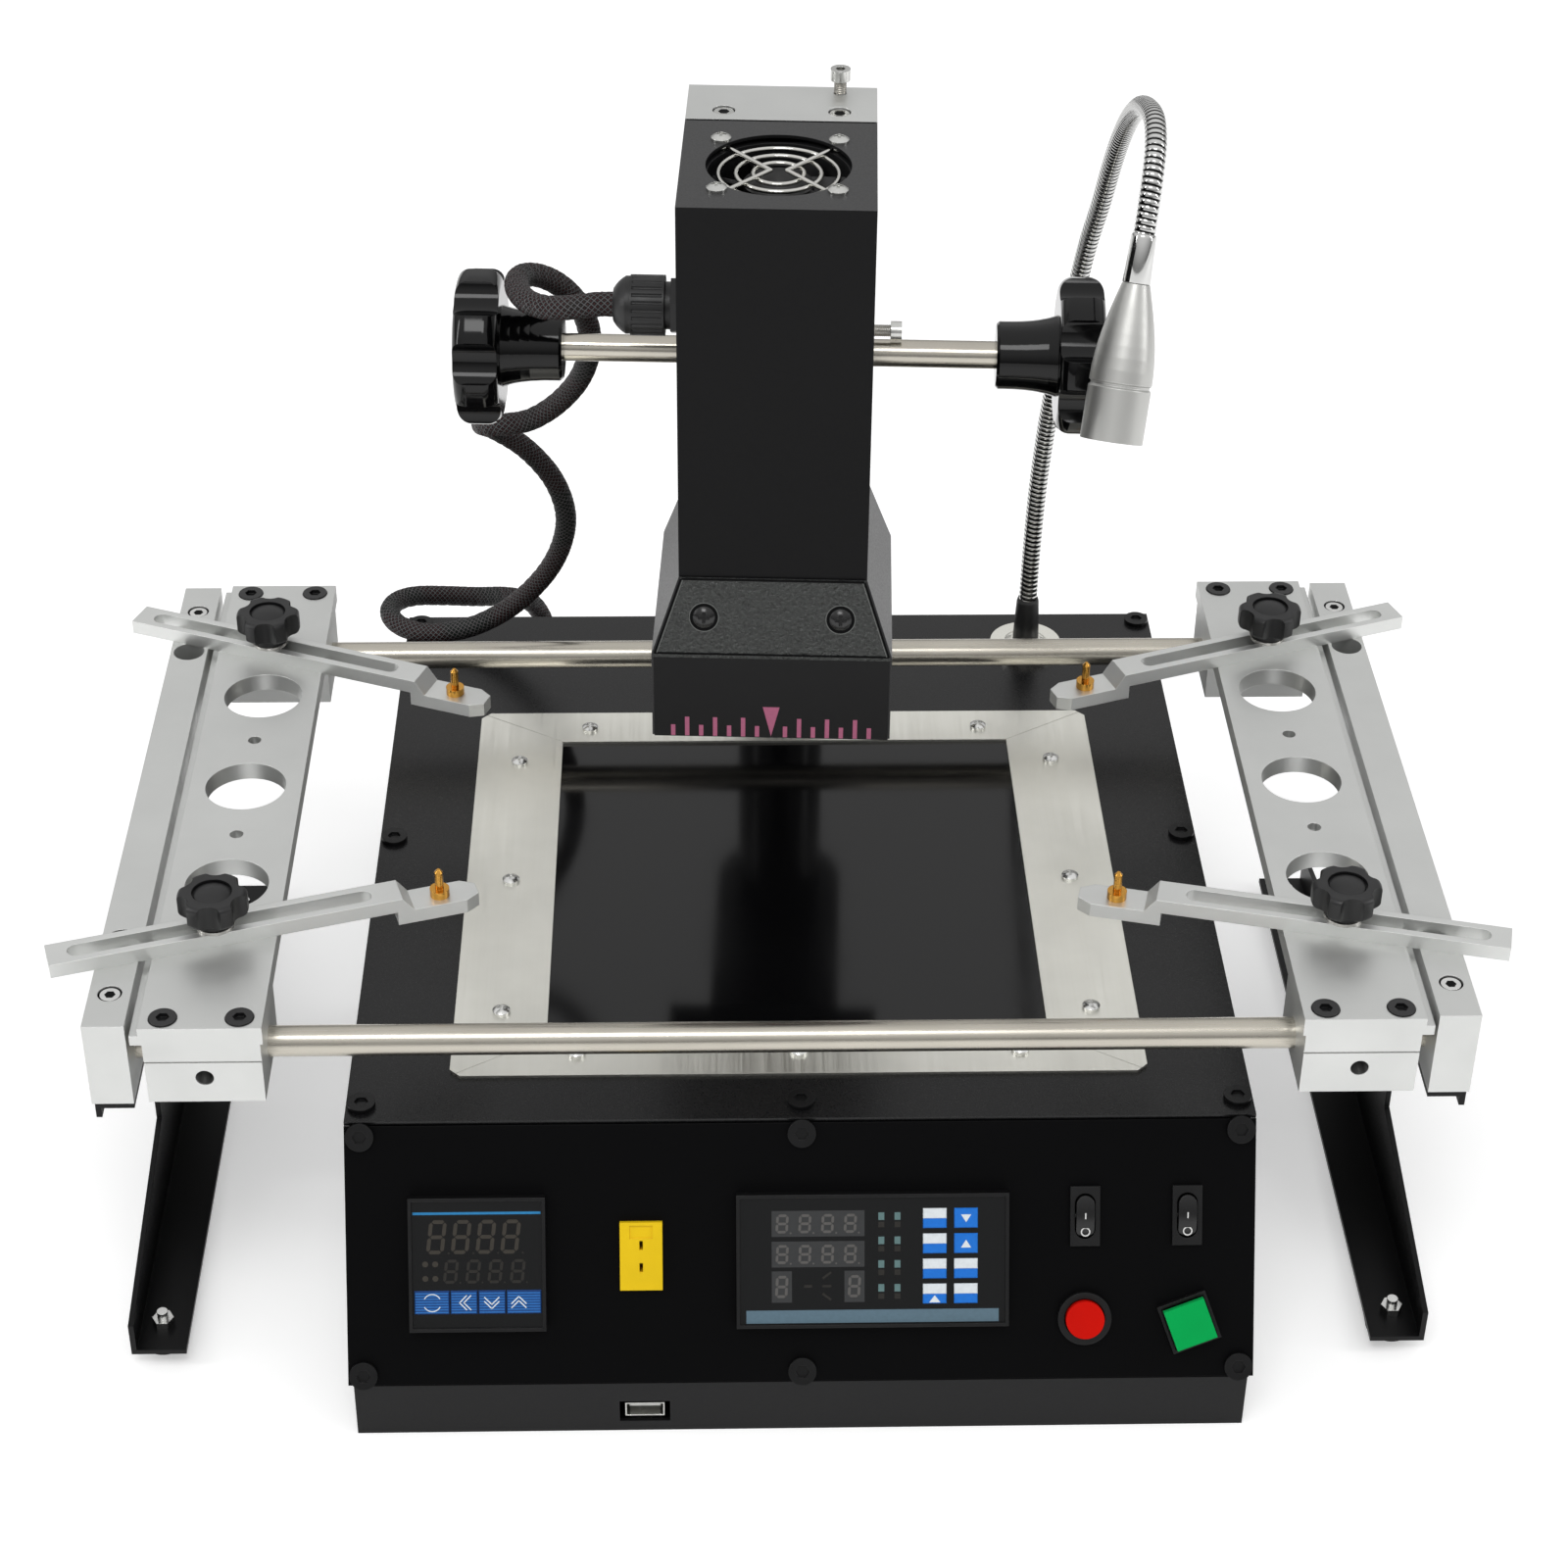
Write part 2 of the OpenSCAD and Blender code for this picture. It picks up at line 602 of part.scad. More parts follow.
// Panel controls
module controller(at, w) {
    on_panel(at) {
        difference() {
            translate([-w / 2, -controller_side / 2, 0]) cube([w, controller_side, controller_bezel]);
            translate([-w / 2 + 1.2, -controller_side / 2 + 1.2, controller_bezel - 1])
                cube([w - 2.4, controller_side - 2.4, 2]);
        }
        translate([-w / 2 + 2.5, -controller_side / 2 + 2, -controller_depth])
            cube([w - 5, controller_side - 4, controller_depth + eps]);
    }
}
module controllers() {
    color(dark_plastic) {
        controller(lower_controller, controller_side);
        controller(upper_controller, 2 * controller_side);
    }
}
module sensor_socket() {
    color([0.93, 0.79, 0.10]) on_panel(socket_at) difference() {
        union() {
            slab(socket_size[0], socket_size[1], 0, 2.5);
            slab(socket_size[0] - 2.4, socket_size[1] - 2.4, -14, 14 + eps);
        }
        for (y = [4, -4]) translate([-0.6, y - 1.6, -8]) cube([1.2, 3.2, 12]);
        translate([-4, 6.4, 2]) cube([8, 4.6, 2]);
    }
}
module usb_port() {
    color(bright_steel) translate([usb_x, tray_front + 1, usb_z]) {
        difference() {
            translate([-7, 0, -3.2]) cube([14, 14, 6.4]);
            translate([-6.5, -1, -2.7]) cube([13, 13, 5.4]);
        }
        translate([-5.5, 1.5, 0.2]) cube([11, 12, 1.7]);
        translate([-6, 3, sheet - usb_z]) cube([12, 11, usb_z - sheet - 3.2 + eps]);
    }
}
module switch_bezel(at) {
    on_panel(at) difference() {
        union() {
            slab(switch_size[0], switch_size[1], 0, 1.6);
            slab(switch_size[0] - 1.6, switch_size[1] - 2.8, -14, 14 + eps);
        }
        translate([0, 0, -8]) stadium(rocker_size[0] + 2 * free_gap, rocker_size[1] + 2 * free_gap, 12);
    }
    on_panel(at) rod_along_x(rocker_pin_d, switch_size[0] - 1.6);
}
module switch_bezels() {
    color(dark_plastic) {
        switch_bezel(light_switch);
        switch_bezel(fan_switch);
        on_panel(stop_at) difference() {
            union() {
                cylinder(d = button_bezel_d, h = 2.4);
                translate([0, 0, -24]) cylinder(d = button_barrel_d, h = 24 + eps);
            }
            translate([0, 0, -button_well]) cylinder(d = button_cap_d + 2 * free_gap, h = button_well + 4);
        }
        on_panel(start_at) rotate([0, 0, start_turn]) difference() {
            union() {
                slab(button_square, button_square, 0, 2.4);
                translate([0, 0, -24]) cylinder(d = button_barrel_d, h = 24 + eps);
            }
            slab(button_cap_side + 2 * free_gap, button_cap_side + 2 * free_gap, 0.6, 4);
            translate([0, 0, -button_well]) cylinder(d = 10 + 2 * free_gap, h = button_well + 4);
        }
    }
}
// A rocker paddle that leans about an axis across the panel
module rocker(at) {
    color(dark_plastic) on_panel(at) rotate([rocker_rest, 0, 0]) difference() {
        intersection() {
            translate([0, 0, -3]) stadium(rocker_size[0], rocker_size[1], 6.2);
            translate([0, 0, 3 - rocker_r]) rod_along_x(2 * rocker_r, 20);
        }
        rod_along_x(rocker_pin_d + 2 * run_fit, 20);
    }
}
module light_switch_rocker() { rocker(light_switch); }
module fan_switch_rocker() { rocker(fan_switch); }
module stop_button_cap() {
    color([0.80, 0.10, 0.06]) on_panel(stop_at) translate([0, 0, -4])
        cylinder(d = button_cap_d, h = 4 + button_proud);
}
module start_button_cap() {
    color([0.0, 0.62, 0.30]) on_panel(start_at) rotate([0, 0, start_turn]) {
        slab(button_cap_side, button_cap_side, 3.2, 2.6);
        translate([0, 0, -5]) cylinder(d = 10, h = 8.2 + eps);
    }
}

// A cable gland that points along +Z: washer flange, ribbed nut and domed mouth
module gland(reach, bore) {
    difference() {
        union() {
            translate([0, 0, -6]) cylinder(d = 16, h = 6 + eps);
            cylinder(d = 21, h = 4, $fn = 6);
            cylinder(d = 16.5, h = reach - 2);
            translate([0, 0, 6]) cylinder(d = 21, h = reach - 12);
            translate([0, 0, reach - 6 - eps]) intersection() {
                cylinder(d = 20, h = 6 + eps);
                translate([0, 0, -4]) sphere(d = 23);
            }
        }
        translate([0, 0, reach - 1.5]) cylinder(d = bore, h = 3);
        for (i = [0 : 23]) rotate([0, 0, i * 15]) translate([10.6, 0, 6.8])
            cylinder(d = 1.3, h = reach - 13.6);
    }
}
module rear_connectors() {
    color(dark_plastic) {
        translate([inlet[0], tray_back, inlet[1]]) difference() {
            union() {
                translate([-inlet_size[0] / 2, 0, -inlet_size[1] / 2])
                    cube([inlet_size[0], 3, inlet_size[1]]);
                translate([-13.5, -22, -9.5]) cube([27, 22 + eps, 19]);
            }
            translate([-11.5, -14, -7.5]) cube([23, 20, 15]);
            for (s = [-1, 1]) translate([s * 20, 0, 0]) rod_along_y(3.4, 12);
        }
        translate([inlet[0], tray_back, inlet[1]]) for (x = [-6.5, 0, 6.5])
            translate([x - 1, -14 - eps, -2]) cube([2, 12, 4]);
        translate([back_gland[0], tray_back, back_gland[1]]) rotate([-90, 0, 0])
            gland(cable_end[1] - tray_back + 1.5, cable_d + 2 * seat_gap);
    }
}

// Column, arm and rack
module at_flange_screws() {
    for (a = [45 : 90 : 315]) rotate([0, 0, a]) translate([flange_screw_r, 0, 3]) children();
}
module column() {
    color(black_paint) translate([0, column_y, body_h]) {
        cylinder(d = column_d, h = column_top - body_h);
        difference() {
            cylinder(d = column_flange_d, h = flange_h);
            at_flange_screws() {
                cylinder(d = 7, h = flange_h);
                translate([0, 0, -flange_h]) cylinder(d = small_shank + 2 * screw_gap, h = flange_h + 1);
            }
        }
    }
}
module head_arm() {
    low = arm_top - head_arm_h;
    color(black_paint) at_head() difference() {
        union() {
            translate([-head_arm_w / 2, rack_tip, low]) cube([head_arm_w, column_y - rack_tip, head_arm_h]);
            translate([0, column_y, low]) cylinder(d = head_arm_w, h = head_arm_h);
            translate([-ear_w / 2, column_y, low]) cube([ear_w, head_arm_w / 2 + 13, head_arm_h]);
        }
        translate([0, column_y, low - 1]) cylinder(d = column_d + 2 * run_fit, h = head_arm_h + 2);
        translate([-1.5, column_y, low - 1]) cube([3, 60, head_arm_h + 2]);
        translate([0, clamp_y, clamp_z]) rod_along_x(5 + 2 * screw_gap, 2 * ear_w);
    }
}
module rack_section() {
    polygon([[-rack_head_w / 2, rack_root], [rack_head_w / 2, rack_root], [rack_head_w / 2, rack_step],
        [rack_neck_w / 2, rack_step], [rack_neck_w / 2, rack_foot], [-rack_neck_w / 2, rack_foot],
        [-rack_neck_w / 2, rack_step], [-rack_head_w / 2, rack_step]]);
}
// Straight-sided teeth in the plane of Y and Z, one tooth centred level with the shaft
module rack_teeth() {
    half = tooth_pitch / 4 - tooth_slack / 2;
    tip = half - gear_module * tan(20);
    root = half + 1.25 * gear_module * tan(20);
    first = ceil((rack_teeth_low - shaft_z) / tooth_pitch);
    for (i = [first : first + rack_tooth_count - 1]) translate([0, 0, shaft_z + i * tooth_pitch])
        rotate([90, 0, 90]) linear_extrude(pinion_w - 1, center = true)
            polygon([[rack_root + eps, -root], [rack_tip, -tip], [rack_tip, tip], [rack_root + eps, root]]);
}
module lift_rack() {
    color(bright_steel) at_head() {
        translate([0, 0, arm_top]) linear_extrude(rack_top - arm_top) rack_section();
        rack_teeth();
    }
}
// Flank of an involute tooth: the point at radius r, turned so that the tooth is centred on the X axis
function roll(r) = let (b = pitch_r * cos(20), w = sqrt(max(r * r - b * b, 0)) / b) w * 180 / PI - atan(w);
function tooth_half(r) = 90 / pinion_teeth - tooth_slack / pitch_r * 45 / PI + roll(pitch_r) - roll(r);
function polar(r, a) = r * [cos(a), sin(a)];
module pinion() {
    root_r = pitch_r - 1.25 * gear_module;
    radii = [root_r, pitch_r * cos(20) + 0.05, pitch_r - 0.3, pitch_r, pitch_r + 0.4, pitch_r + gear_module];
    steps = len(radii) - 1;
    polygon([for (i = [0 : pinion_teeth - 1]) let (mid = (i + 0.5) * 360 / pinion_teeth)
        each concat(
            [for (k = [0 : steps]) polar(radii[k], mid - tooth_half(radii[k]))],
            [for (k = [steps : -1 : 0]) polar(radii[k], mid + tooth_half(radii[k]))]
        )]);
}
module at_shaft() { at_head() translate([0, shaft_y, shaft_z]) children(); }
module pinion_shaft() {
    color(bright_steel) at_shaft() {
        rod_along_x(shaft_d, shaft_l);
        rotate([90, 0, 90]) linear_extrude(pinion_w, center = true) pinion();
    }
}
module lift_knob() {
    bore = shaft_d + 2 * run_fit;
    difference() {
        union() {
            translate([0, 0, -knob_t / 2]) star(knob_d, 7, 9, knob_t, knob_edge);
            rotate_extrude() polygon(concat(
                [[0, 0], [0, -knob_hub_l], [knob_hub_d / 2 - 1, -knob_hub_l]],
                [for (i = [0 : 6]) let (flare = hub_flare * pow(i / 6, 3))
                    [knob_hub_d / 2 + flare, -knob_hub_l + 1 + i * hub_run / 6]],
                [[knob_hub_d / 2 + hub_flare, 0]]));
        }
        translate([0, 0, -knob_hub_l - 1])
            cylinder(d = bore, h = knob_hub_l + shaft_l / 2 - knob_pitch / 2 + 1);
        translate([0, 0, knob_t / 2 - 3]) rotate_extrude() difference() {
            square([15, 4]);
            translate([0, -20]) intersection() {
                circle(r = 22);
                square([22, 30]);
            }
        }
    }
}
module lift_knobs() {
    color(dark_plastic) at_shaft() for (s = [-1, 1]) rotate([0, s * 90, 0])
        translate([0, 0, knob_pitch / 2]) lift_knob();
}

// Head
module head_carriage() {
    way_w = rack_head_w + 2 * slide_gap;
    neck_w = rack_neck_w + 2 * slide_gap;
    chamber_front = rack_tip - 0.6;
    color(bare_metal) at_head() difference() {
        translate([-cover_w / 2, cover_back, block_base]) cube([cover_w, block_d, block_h]);
        translate([-way_w / 2, rack_root - slide_gap, block_base - 1])
            cube([way_w, rack_step + slide_gap - rack_root + slide_gap, block_h + 1 - block_roof]);
        translate([-pinion_w / 2, chamber_front, block_base - 1])
            cube([pinion_w, rack_root - chamber_front, block_h + 1 - block_roof]);
        translate([-neck_w / 2, rack_step, block_base - 1])
            cube([neck_w, block_d, block_h + 1 - block_roof]);
        translate([0, shaft_y, shaft_z]) rod_along_x(2 * (pitch_r + gear_module) + 1, pinion_w + 1);
        translate([0, shaft_y, shaft_z]) rod_along_x(shaft_d + 2 * run_fit, cover_w + 2);
        for (s = [-1, 1]) translate([s * 20, shaft_y - 3, head_top - 4.5]) {
            cylinder(d = 8, h = 5);
            translate([0, 0, -12.5]) cylinder(d = 4 + 2 * screw_gap, h = 14);
        }
        translate([20, block_back - 5, head_top - 10]) cylinder(d = 4 + 2 * screw_gap, h = 12);
        translate([cover_w / 2 - 10, shaft_y - 1, shaft_z + 9.5]) rotate([0, 90, 0])
            cylinder(d = 4 + 2 * screw_gap, h = 12);
    }
}
module at_fan_screws() {
    for (x = [-1, 1], y = [-1, 1])
        translate([x * fan_screw_pitch / 2, fan_mid + y * fan_screw_pitch / 2, 0]) children();
}
module head_cover() {
    color(black_paint) at_head() difference() {
        translate([-cover_w / 2, cover_front, cover_bottom])
            cube([cover_w, cover_d, head_top - cover_bottom]);
        translate([-cover_w / 2 + head_sheet, cover_front + head_sheet, cover_bottom - 1])
            cube([cover_w - 2 * head_sheet, cover_d - 2 * head_sheet,
                head_top - cover_bottom + 1 - head_sheet]);
        translate([0, fan_mid, head_top - 3]) cylinder(d = fan_hole_d, h = 6);
        at_fan_screws() translate([0, 0, head_top - 3]) cylinder(d = 3 + 2 * screw_gap, h = 6);
        translate([-cover_w / 2, gland_y, gland_z]) rod_along_x(16 + 2 * screw_gap, 8);
    }
}
// A four-sided block that narrows upwards: lists of left, right, front and back at each end
module taper(low, high, z0, z1) {
    function ring(e, z) = [[e[0], e[2], z], [e[1], e[2], z], [e[1], e[3], z], [e[0], e[3], z]];
    polyhedron(concat(ring(low, z0), ring(high, z1)),
        [[0, 1, 2, 3], [7, 6, 5, 4], [0, 4, 5, 1], [1, 5, 6, 2], [2, 6, 7, 3], [3, 7, 4, 0]]);
}
// The two screws in the sloping front of the hood
module at_hood_screws() {
    slope = atan((cover_front - hood_front) / (hood_h - skirt_h));
    for (x = [-1, 1])
        translate([x * hood_screw_x, (hood_front + cover_front) / 2, hood_bottom + (skirt_h + hood_h) / 2])
            rotate([90 - slope, 0, 0]) children();
}
module heater_hood() {
    w = hood_w / 2;
    c = cover_w / 2;
    s = head_sheet;
    knee = hood_bottom + skirt_h;
    outer_low = [-w, w, hood_front, hood_front + hood_w];
    outer_high = [-c, c, cover_front, cover_back];
    inner_low = outer_low + [s, -s, s, -s];
    inner_high = outer_high + [s, -s, s, -s];
    color(black_paint) at_head() difference() {
        union() {
            translate([-w, hood_front, hood_bottom]) cube([hood_w, hood_w, skirt_h]);
            taper(outer_low, outer_high, knee, cover_bottom);
        }
        translate([-w + s, hood_front + s, hood_bottom - 1])
            cube([hood_w - 2 * s, hood_w - 2 * s, skirt_h + 1]);
        taper(inner_low, inner_high, knee - eps, cover_bottom + eps);
        at_hood_screws() translate([0, 0, -4 * head_sheet])
            cylinder(d = 3 + 2 * screw_gap, h = 6 * head_sheet);
    }
}
module head_screws() {
    color(bright_steel) at_head() {
        at_fan_screws() translate([0, 0, head_top]) pan_screw(7, 2.2, 3, head_sheet + guard_wire + fan_t);
        for (s = [-1, 1]) translate([s * 20, shaft_y - 3, head_top - 4.5]) socket_screw(7, 4, 4, 12);
        translate([20, block_back - 5, head_top + 5]) socket_screw(7, 4, 4, 15);
        translate([cover_w / 2 + 7, shaft_y - 1, shaft_z + 9.5]) rotate([0, 90, 0]) socket_screw(7, 4, 4, 17);
    }
    color(dark_plastic) at_head() at_hood_screws() translate([0, 0, seat_gap])
        pan_screw(8, 2.2, 3, 3 * head_sheet);
}
module fan_frame() {
    color(dark_plastic) at_head() translate([0, fan_mid, fan_top - fan_t]) difference() {
        rounded_square(fan_w, 3, fan_t);
        translate([0, 0, 2]) cylinder(d = fan_hole_d - 1, h = fan_t);
        difference() {
            translate([0, 0, -1]) cylinder(d = fan_hole_d - 1, h = 4);
            translate([0, 0, -2]) cylinder(d = 24, h = 6);
            for (a = [0 : 120 : 240]) rotate([0, 0, a]) translate([0, -2, -2]) cube([fan_w, 4, 6]);
        }
        for (x = [-1, 1], y = [-1, 1]) translate([x * fan_screw_pitch / 2, y * fan_screw_pitch / 2, -1])
            cylinder(d = 3 + 2 * screw_gap, h = fan_t + 2);
    }
}
module fan_rotor() {
    color(dark_plastic) at_head() translate([0, fan_mid, fan_top - fan_t + 2 + free_gap]) {
        cylinder(d = 24, h = 9);
        intersection() {
            difference() {
                cylinder(d = fan_hole_d - 3, h = 9);
                translate([0, 0, -1]) cylinder(d = 23, h = 11);
            }
            for (i = [0 : 6]) rotate([0, 0, i * 360 / 7]) translate([0, 0, 4.5]) rotate([35, 0, 0])
                translate([0, -7, -0.7]) cube([fan_w, 14, 1.4]);
        }
    }
}
module guard_ring(r) { rotate_extrude($fn = 64) translate([r, 0]) circle(d = guard_wire, $fn = 16); }
module fan_guard() {
    inner = 2.8;
    outer = fan_screw_pitch / 2 - 1.9;
    run = (outer - inner);
    color(bright_steel) at_head() translate([0, fan_mid, fan_top + guard_wire / 2]) {
        translate([0, 0, -guard_wire * 0.75]) for (r = guard_rings) guard_ring(r);
        for (x = [-1, 1]) {
            translate([x * inner, 0, 0]) sphere(d = guard_wire, $fn = 16);
            for (y = [-1, 1]) translate([x * inner, 0, 0]) rotate([0, 0, atan2(y * outer, x * run)])
                rotate([0, 90, 0]) cylinder(d = guard_wire, h = norm([outer, run]), $fn = 16);
        }
        for (x = [-1, 1], y = [-1, 1]) translate([x * fan_screw_pitch / 2, y * fan_screw_pitch / 2, 0])
            guard_ring(2.6);
    }
}
module upper_heater() {
    inside = hood_w - 2 * head_sheet;
    color([0.86, 0.84, 0.80]) at_head() translate([0, hood_mid, hood_bottom]) {
        slab(64, 64, 12, 10);
        for (x = [-20, 20]) translate([x, 0, 22 - eps]) cylinder(d = 8, h = 8 + 2 * eps);
        slab(inside, 30, 30, 1.5);
    }
}
module head_gland() {
    color(dark_plastic) at_head() translate([-cover_w / 2, gland_y, gland_z]) rotate([0, -90, 0])
        gland(gland_reach + 1.5, cable_d + 2 * seat_gap);
}
module cable_upper() {
    out = [-cos(head_swing), -sin(head_swing), 0];
    mouth = head_turned([-cover_w / 2 - gland_reach, gland_y, gland_z]);
    color(dark_plastic)
        swept_tube(concat([mouth, mouth + 6 * out], cable_top_route), cable_d, 2, 10, out, [-1, 0, 0]);
}
module cable_lower() {
    color(dark_plastic) swept_tube(cable_low_route, cable_d, 2, 10, [-1, 0, 0], [0, -1, 0]);
}

// Lamp
module lamp_base() {
    color(bright_steel) translate([lamp_x, lamp_y, body_h]) {
        cylinder(d = 30, h = 3);
        translate([0, 0, 3 - eps]) cylinder(d1 = 18, d2 = 12, h = lamp_base_h - 3 + eps);
    }
}
module at_lamp() { translate([lamp_x, lamp_y, body_h]) children(); }
module at_neck_end() {
    at_lamp() translate(neck_route[len(neck_route) - 1])
        rotate([0, acos(neck_end[2]), atan2(neck_end[1], neck_end[0])]) children();
}
module gooseneck() {
    color(bright_steel) {
        at_lamp() swept_tube(neck_route, neck_d, 3, 10, [0, 0, 1], neck_end);
        at_neck_end() cylinder(d1 = neck_d + ferrule_wall, d2 = neck_d + 2 * ferrule_wall, h = ferrule_l);
    }
    color(dark_plastic) at_lamp() translate([0, 0, lamp_base_h])
        cylinder(d1 = neck_d + 2 * sleeve_wall, d2 = neck_d + sleeve_wall, h = sleeve_top - lamp_base_h);
}
// Bullet-shaped head, from the ferrule to the rim around the lens
module lamp_head() {
    r0 = neck_d / 2 + ferrule_wall;
    r1 = lamp_d / 2;
    steps = 8;
    bell = [for (i = [0 : steps]) [r0 + (r1 - r0) * sin(90 * i / steps), bell_l * i / steps]];
    color(bare_metal) at_neck_end() translate([0, 0, ferrule_l + seat_gap]) difference() {
        rotate_extrude() polygon(concat([[0, 0]], bell, [
            [r1 - groove, bell_l + groove], [r1 - groove, bell_l + 2 * groove], [r1, bell_l + 3 * groove],
            [r1, lamp_l], [0, lamp_l]]));
        translate([0, 0, lamp_l - 4]) cylinder(d = lamp_d - 4, h = 5);
    }
}

// Board stand
module guide_rods() {
    color(bright_steel) at_stand() for (s = [-1, 1]) translate([0, s * rod_y, rod_z])
        rod_along_x(rod_d, 2 * (bar_x + rod_seat));
}
module end_bars() {
    color(bare_metal) at_stand() for (s = [0, 180]) rotate([0, 0, s]) difference() {
        translate([bar_x, -stand_l / 2, stand_h - bar_h]) cube([bar_w, stand_l, bar_h]);
        for (y = [-1, 1]) {
            translate([bar_x, y * rod_y, rod_z]) rod_along_x(rod_d + 2 * run_fit, 2 * (rod_seat + seat_gap));
            translate([bar_x + bar_w / 2, y * rod_y, stand_h - bar_screw_sink]) {
                cylinder(d = bar_screw_d + 1.5, h = bar_screw_sink + 1);
                translate([0, 0, -20]) cylinder(d = 4 + 2 * screw_gap, h = 21);
            }
            translate([bar_x + bar_w / 2, y * bar_bolt_y, leg_top + 8]) {
                cylinder(d = bar_bolt_d, h = bar_h);
                translate([0, 0, -10]) cylinder(d = 5 + 2 * screw_gap, h = 11);
            }
        }
    }
}
// Folded leg: spool-shaped web with a flange under the bar and a flange on the bench
module leg() {
    half = stand_l / 2;
    low = foot_h;
    waist = [48, 33, 14];
    translate([leg_web_x - leg_t, 0, 0]) rotate([90, 0, 90]) linear_extrude(leg_t) polygon([
        [-half, low], [half, low], [half, low + waist[2]], [waist[0], low + waist[1]],
        [waist[0], leg_top - 18], [half - 40, leg_top - 6], [half, leg_top - 6], [half, leg_top],
        [-half, leg_top], [-half, leg_top - 6], [-half + 40, leg_top - 6], [-waist[0], leg_top - 18],
        [-waist[0], low + waist[1]], [-half, low + waist[2]]]);
    translate([leg_web_x - leg_flange, -half, low]) cube([leg_flange, stand_l, leg_t]);
    translate([bar_x, -half, leg_top - leg_t]) cube([leg_web_x - bar_x, stand_l, leg_t]);
}
module legs() {
    color(black_paint) at_stand() for (s = [0, 180]) rotate([0, 0, s]) difference() {
        leg();
        for (y = [-1, 1]) {
            translate([bar_x + bar_w / 2, y * bar_bolt_y, leg_top - leg_t - 1])
                cylinder(d = 5 + 2 * screw_gap, h = leg_t + 2);
        }
    }
}
module feet() {
    color(dark_plastic) at_stand() for (x = [-1, 1], y = [-1, 1])
        translate([x * (leg_web_x - leg_flange / 2), y * foot_y, 0])
            cylinder(d1 = foot_d - 3, d2 = foot_d, h = foot_h);
}
module plate_holes(places, d) {
    for (i = places) translate([0, i * hole_pitch, block_top - 1]) cylinder(d = d, h = plate_t + 2);
}
// Carriage for the right side; the left one is the same part turned round
module carriage() {
    translate([carriage_x, 0, 0]) difference() {
        union() {
            translate([-carriage_w / 2, -carriage_l / 2, block_top]) cube([carriage_w, carriage_l, plate_t]);
            translate([carriage_w / 2 - eps, -carriage_l / 2, block_top])
                cube([ledge_w, carriage_l, plate_t - ledge_t]);
            for (s = [-1, 1]) translate([0, s * (carriage_l - block_size[1]) / 2, 0])
                slab(block_size[0], block_size[1], block_bottom, block_top - block_bottom + eps);
        }
        for (s = [-1, 1]) translate([0, s * rod_y, rod_z])
            rod_along_x(rod_d + 2 * run_fit, block_size[0] + 2);
        plate_holes([-2, 0, 2], window_d);
        plate_holes([-1, 1], spare_hole_d);
        plate_holes([-3, 3], stud_d + 2 * free_gap);
        for (s = [-1, 1], x = [-1, 1]) translate([x * cap_screw_x, s * plate_screw_y, stand_h - cap_sink]) {
            cylinder(d = cap_screw_d + 2 * screw_gap, h = cap_sink + 1);
            translate([0, 0, -14]) cylinder(d = 5 + 2 * screw_gap, h = 15);
        }
        for (s = [-1, 1]) translate([0, s * (carriage_l / 2 - 4), rod_z]) rod_along_y(6.3, 10);
        for (s = [-1, 1]) translate([-carriage_w, s * carriage_l / 2 - groove, block_top - 8])
            cube([2 * carriage_w, 2 * groove, groove]);
    }
}
module carriage_screws() {
    for (s = [-1, 1], x = [-1, 1])
        translate([carriage_x + x * cap_screw_x, s * plate_screw_y, stand_h - cap_sink])
            socket_screw(cap_screw_d, cap_screw_h, 5, 12);
}
module left_side() { at_stand() rotate([0, 0, 180]) children(); }
module carriage_left() { color(bare_metal) left_side() carriage(); }
module carriage_left_screws() { color(dark_plastic) left_side() carriage_screws(); }
module carriage_right() { color(bare_metal) at_stand() carriage(); }
module carriage_right_screws() { color(dark_plastic) at_stand() carriage_screws(); }

// Board arms
module arm(i) {
    half = arm_w / 2;
    color(bare_metal) at_arm(i) difference() {
        union() {
            translate([0, half, 0]) rotate([90, 0, 0]) linear_extrude(arm_w)
                polygon([[0, 0], [arm_l, 0], [arm_l - arm_bevel, arm_t], [0, arm_t]]);
            translate([0, 0, -arm_t]) linear_extrude(arm_t) polygon([[tip_start, -half], [tip_end - 5, -half],
                [tip_end, -half / 2], [tip_end, half / 2], [tip_end - 5, half], [tip_start, half]]);
        }
        translate([(slot_end + slot_far) / 2, 0, -1]) rotate([0, 0, 90])
            stadium(slot_w, slot_far - slot_end, arm_t + 2);
        translate([pin_at, 0, -arm_t - 1]) cylinder(d = 3 + 2 * screw_gap, h = arm_t + 2);
    }
}
module pin(i) {
    color(brass_tone) at_arm(i) translate([pin_at, 0, 0]) {
        cylinder(d = 7, h = 3);
        cylinder(d = 3, h = 10);
        translate([0, 0, 10 - eps]) cylinder(d1 = 3, d2 = 1.2, h = 1.2);
        translate([0, 0, -arm_t]) cylinder(d = 3, h = arm_t + eps);
    }
}
module washer(i) {
    color(bright_steel) at_hold(i) translate([0, 0, arm_t]) difference() {
        cylinder(d = washer_d, h = washer_t);
        translate([0, 0, -1]) cylinder(d = stud_d + 2 * free_gap, h = washer_t + 2);
    }
}
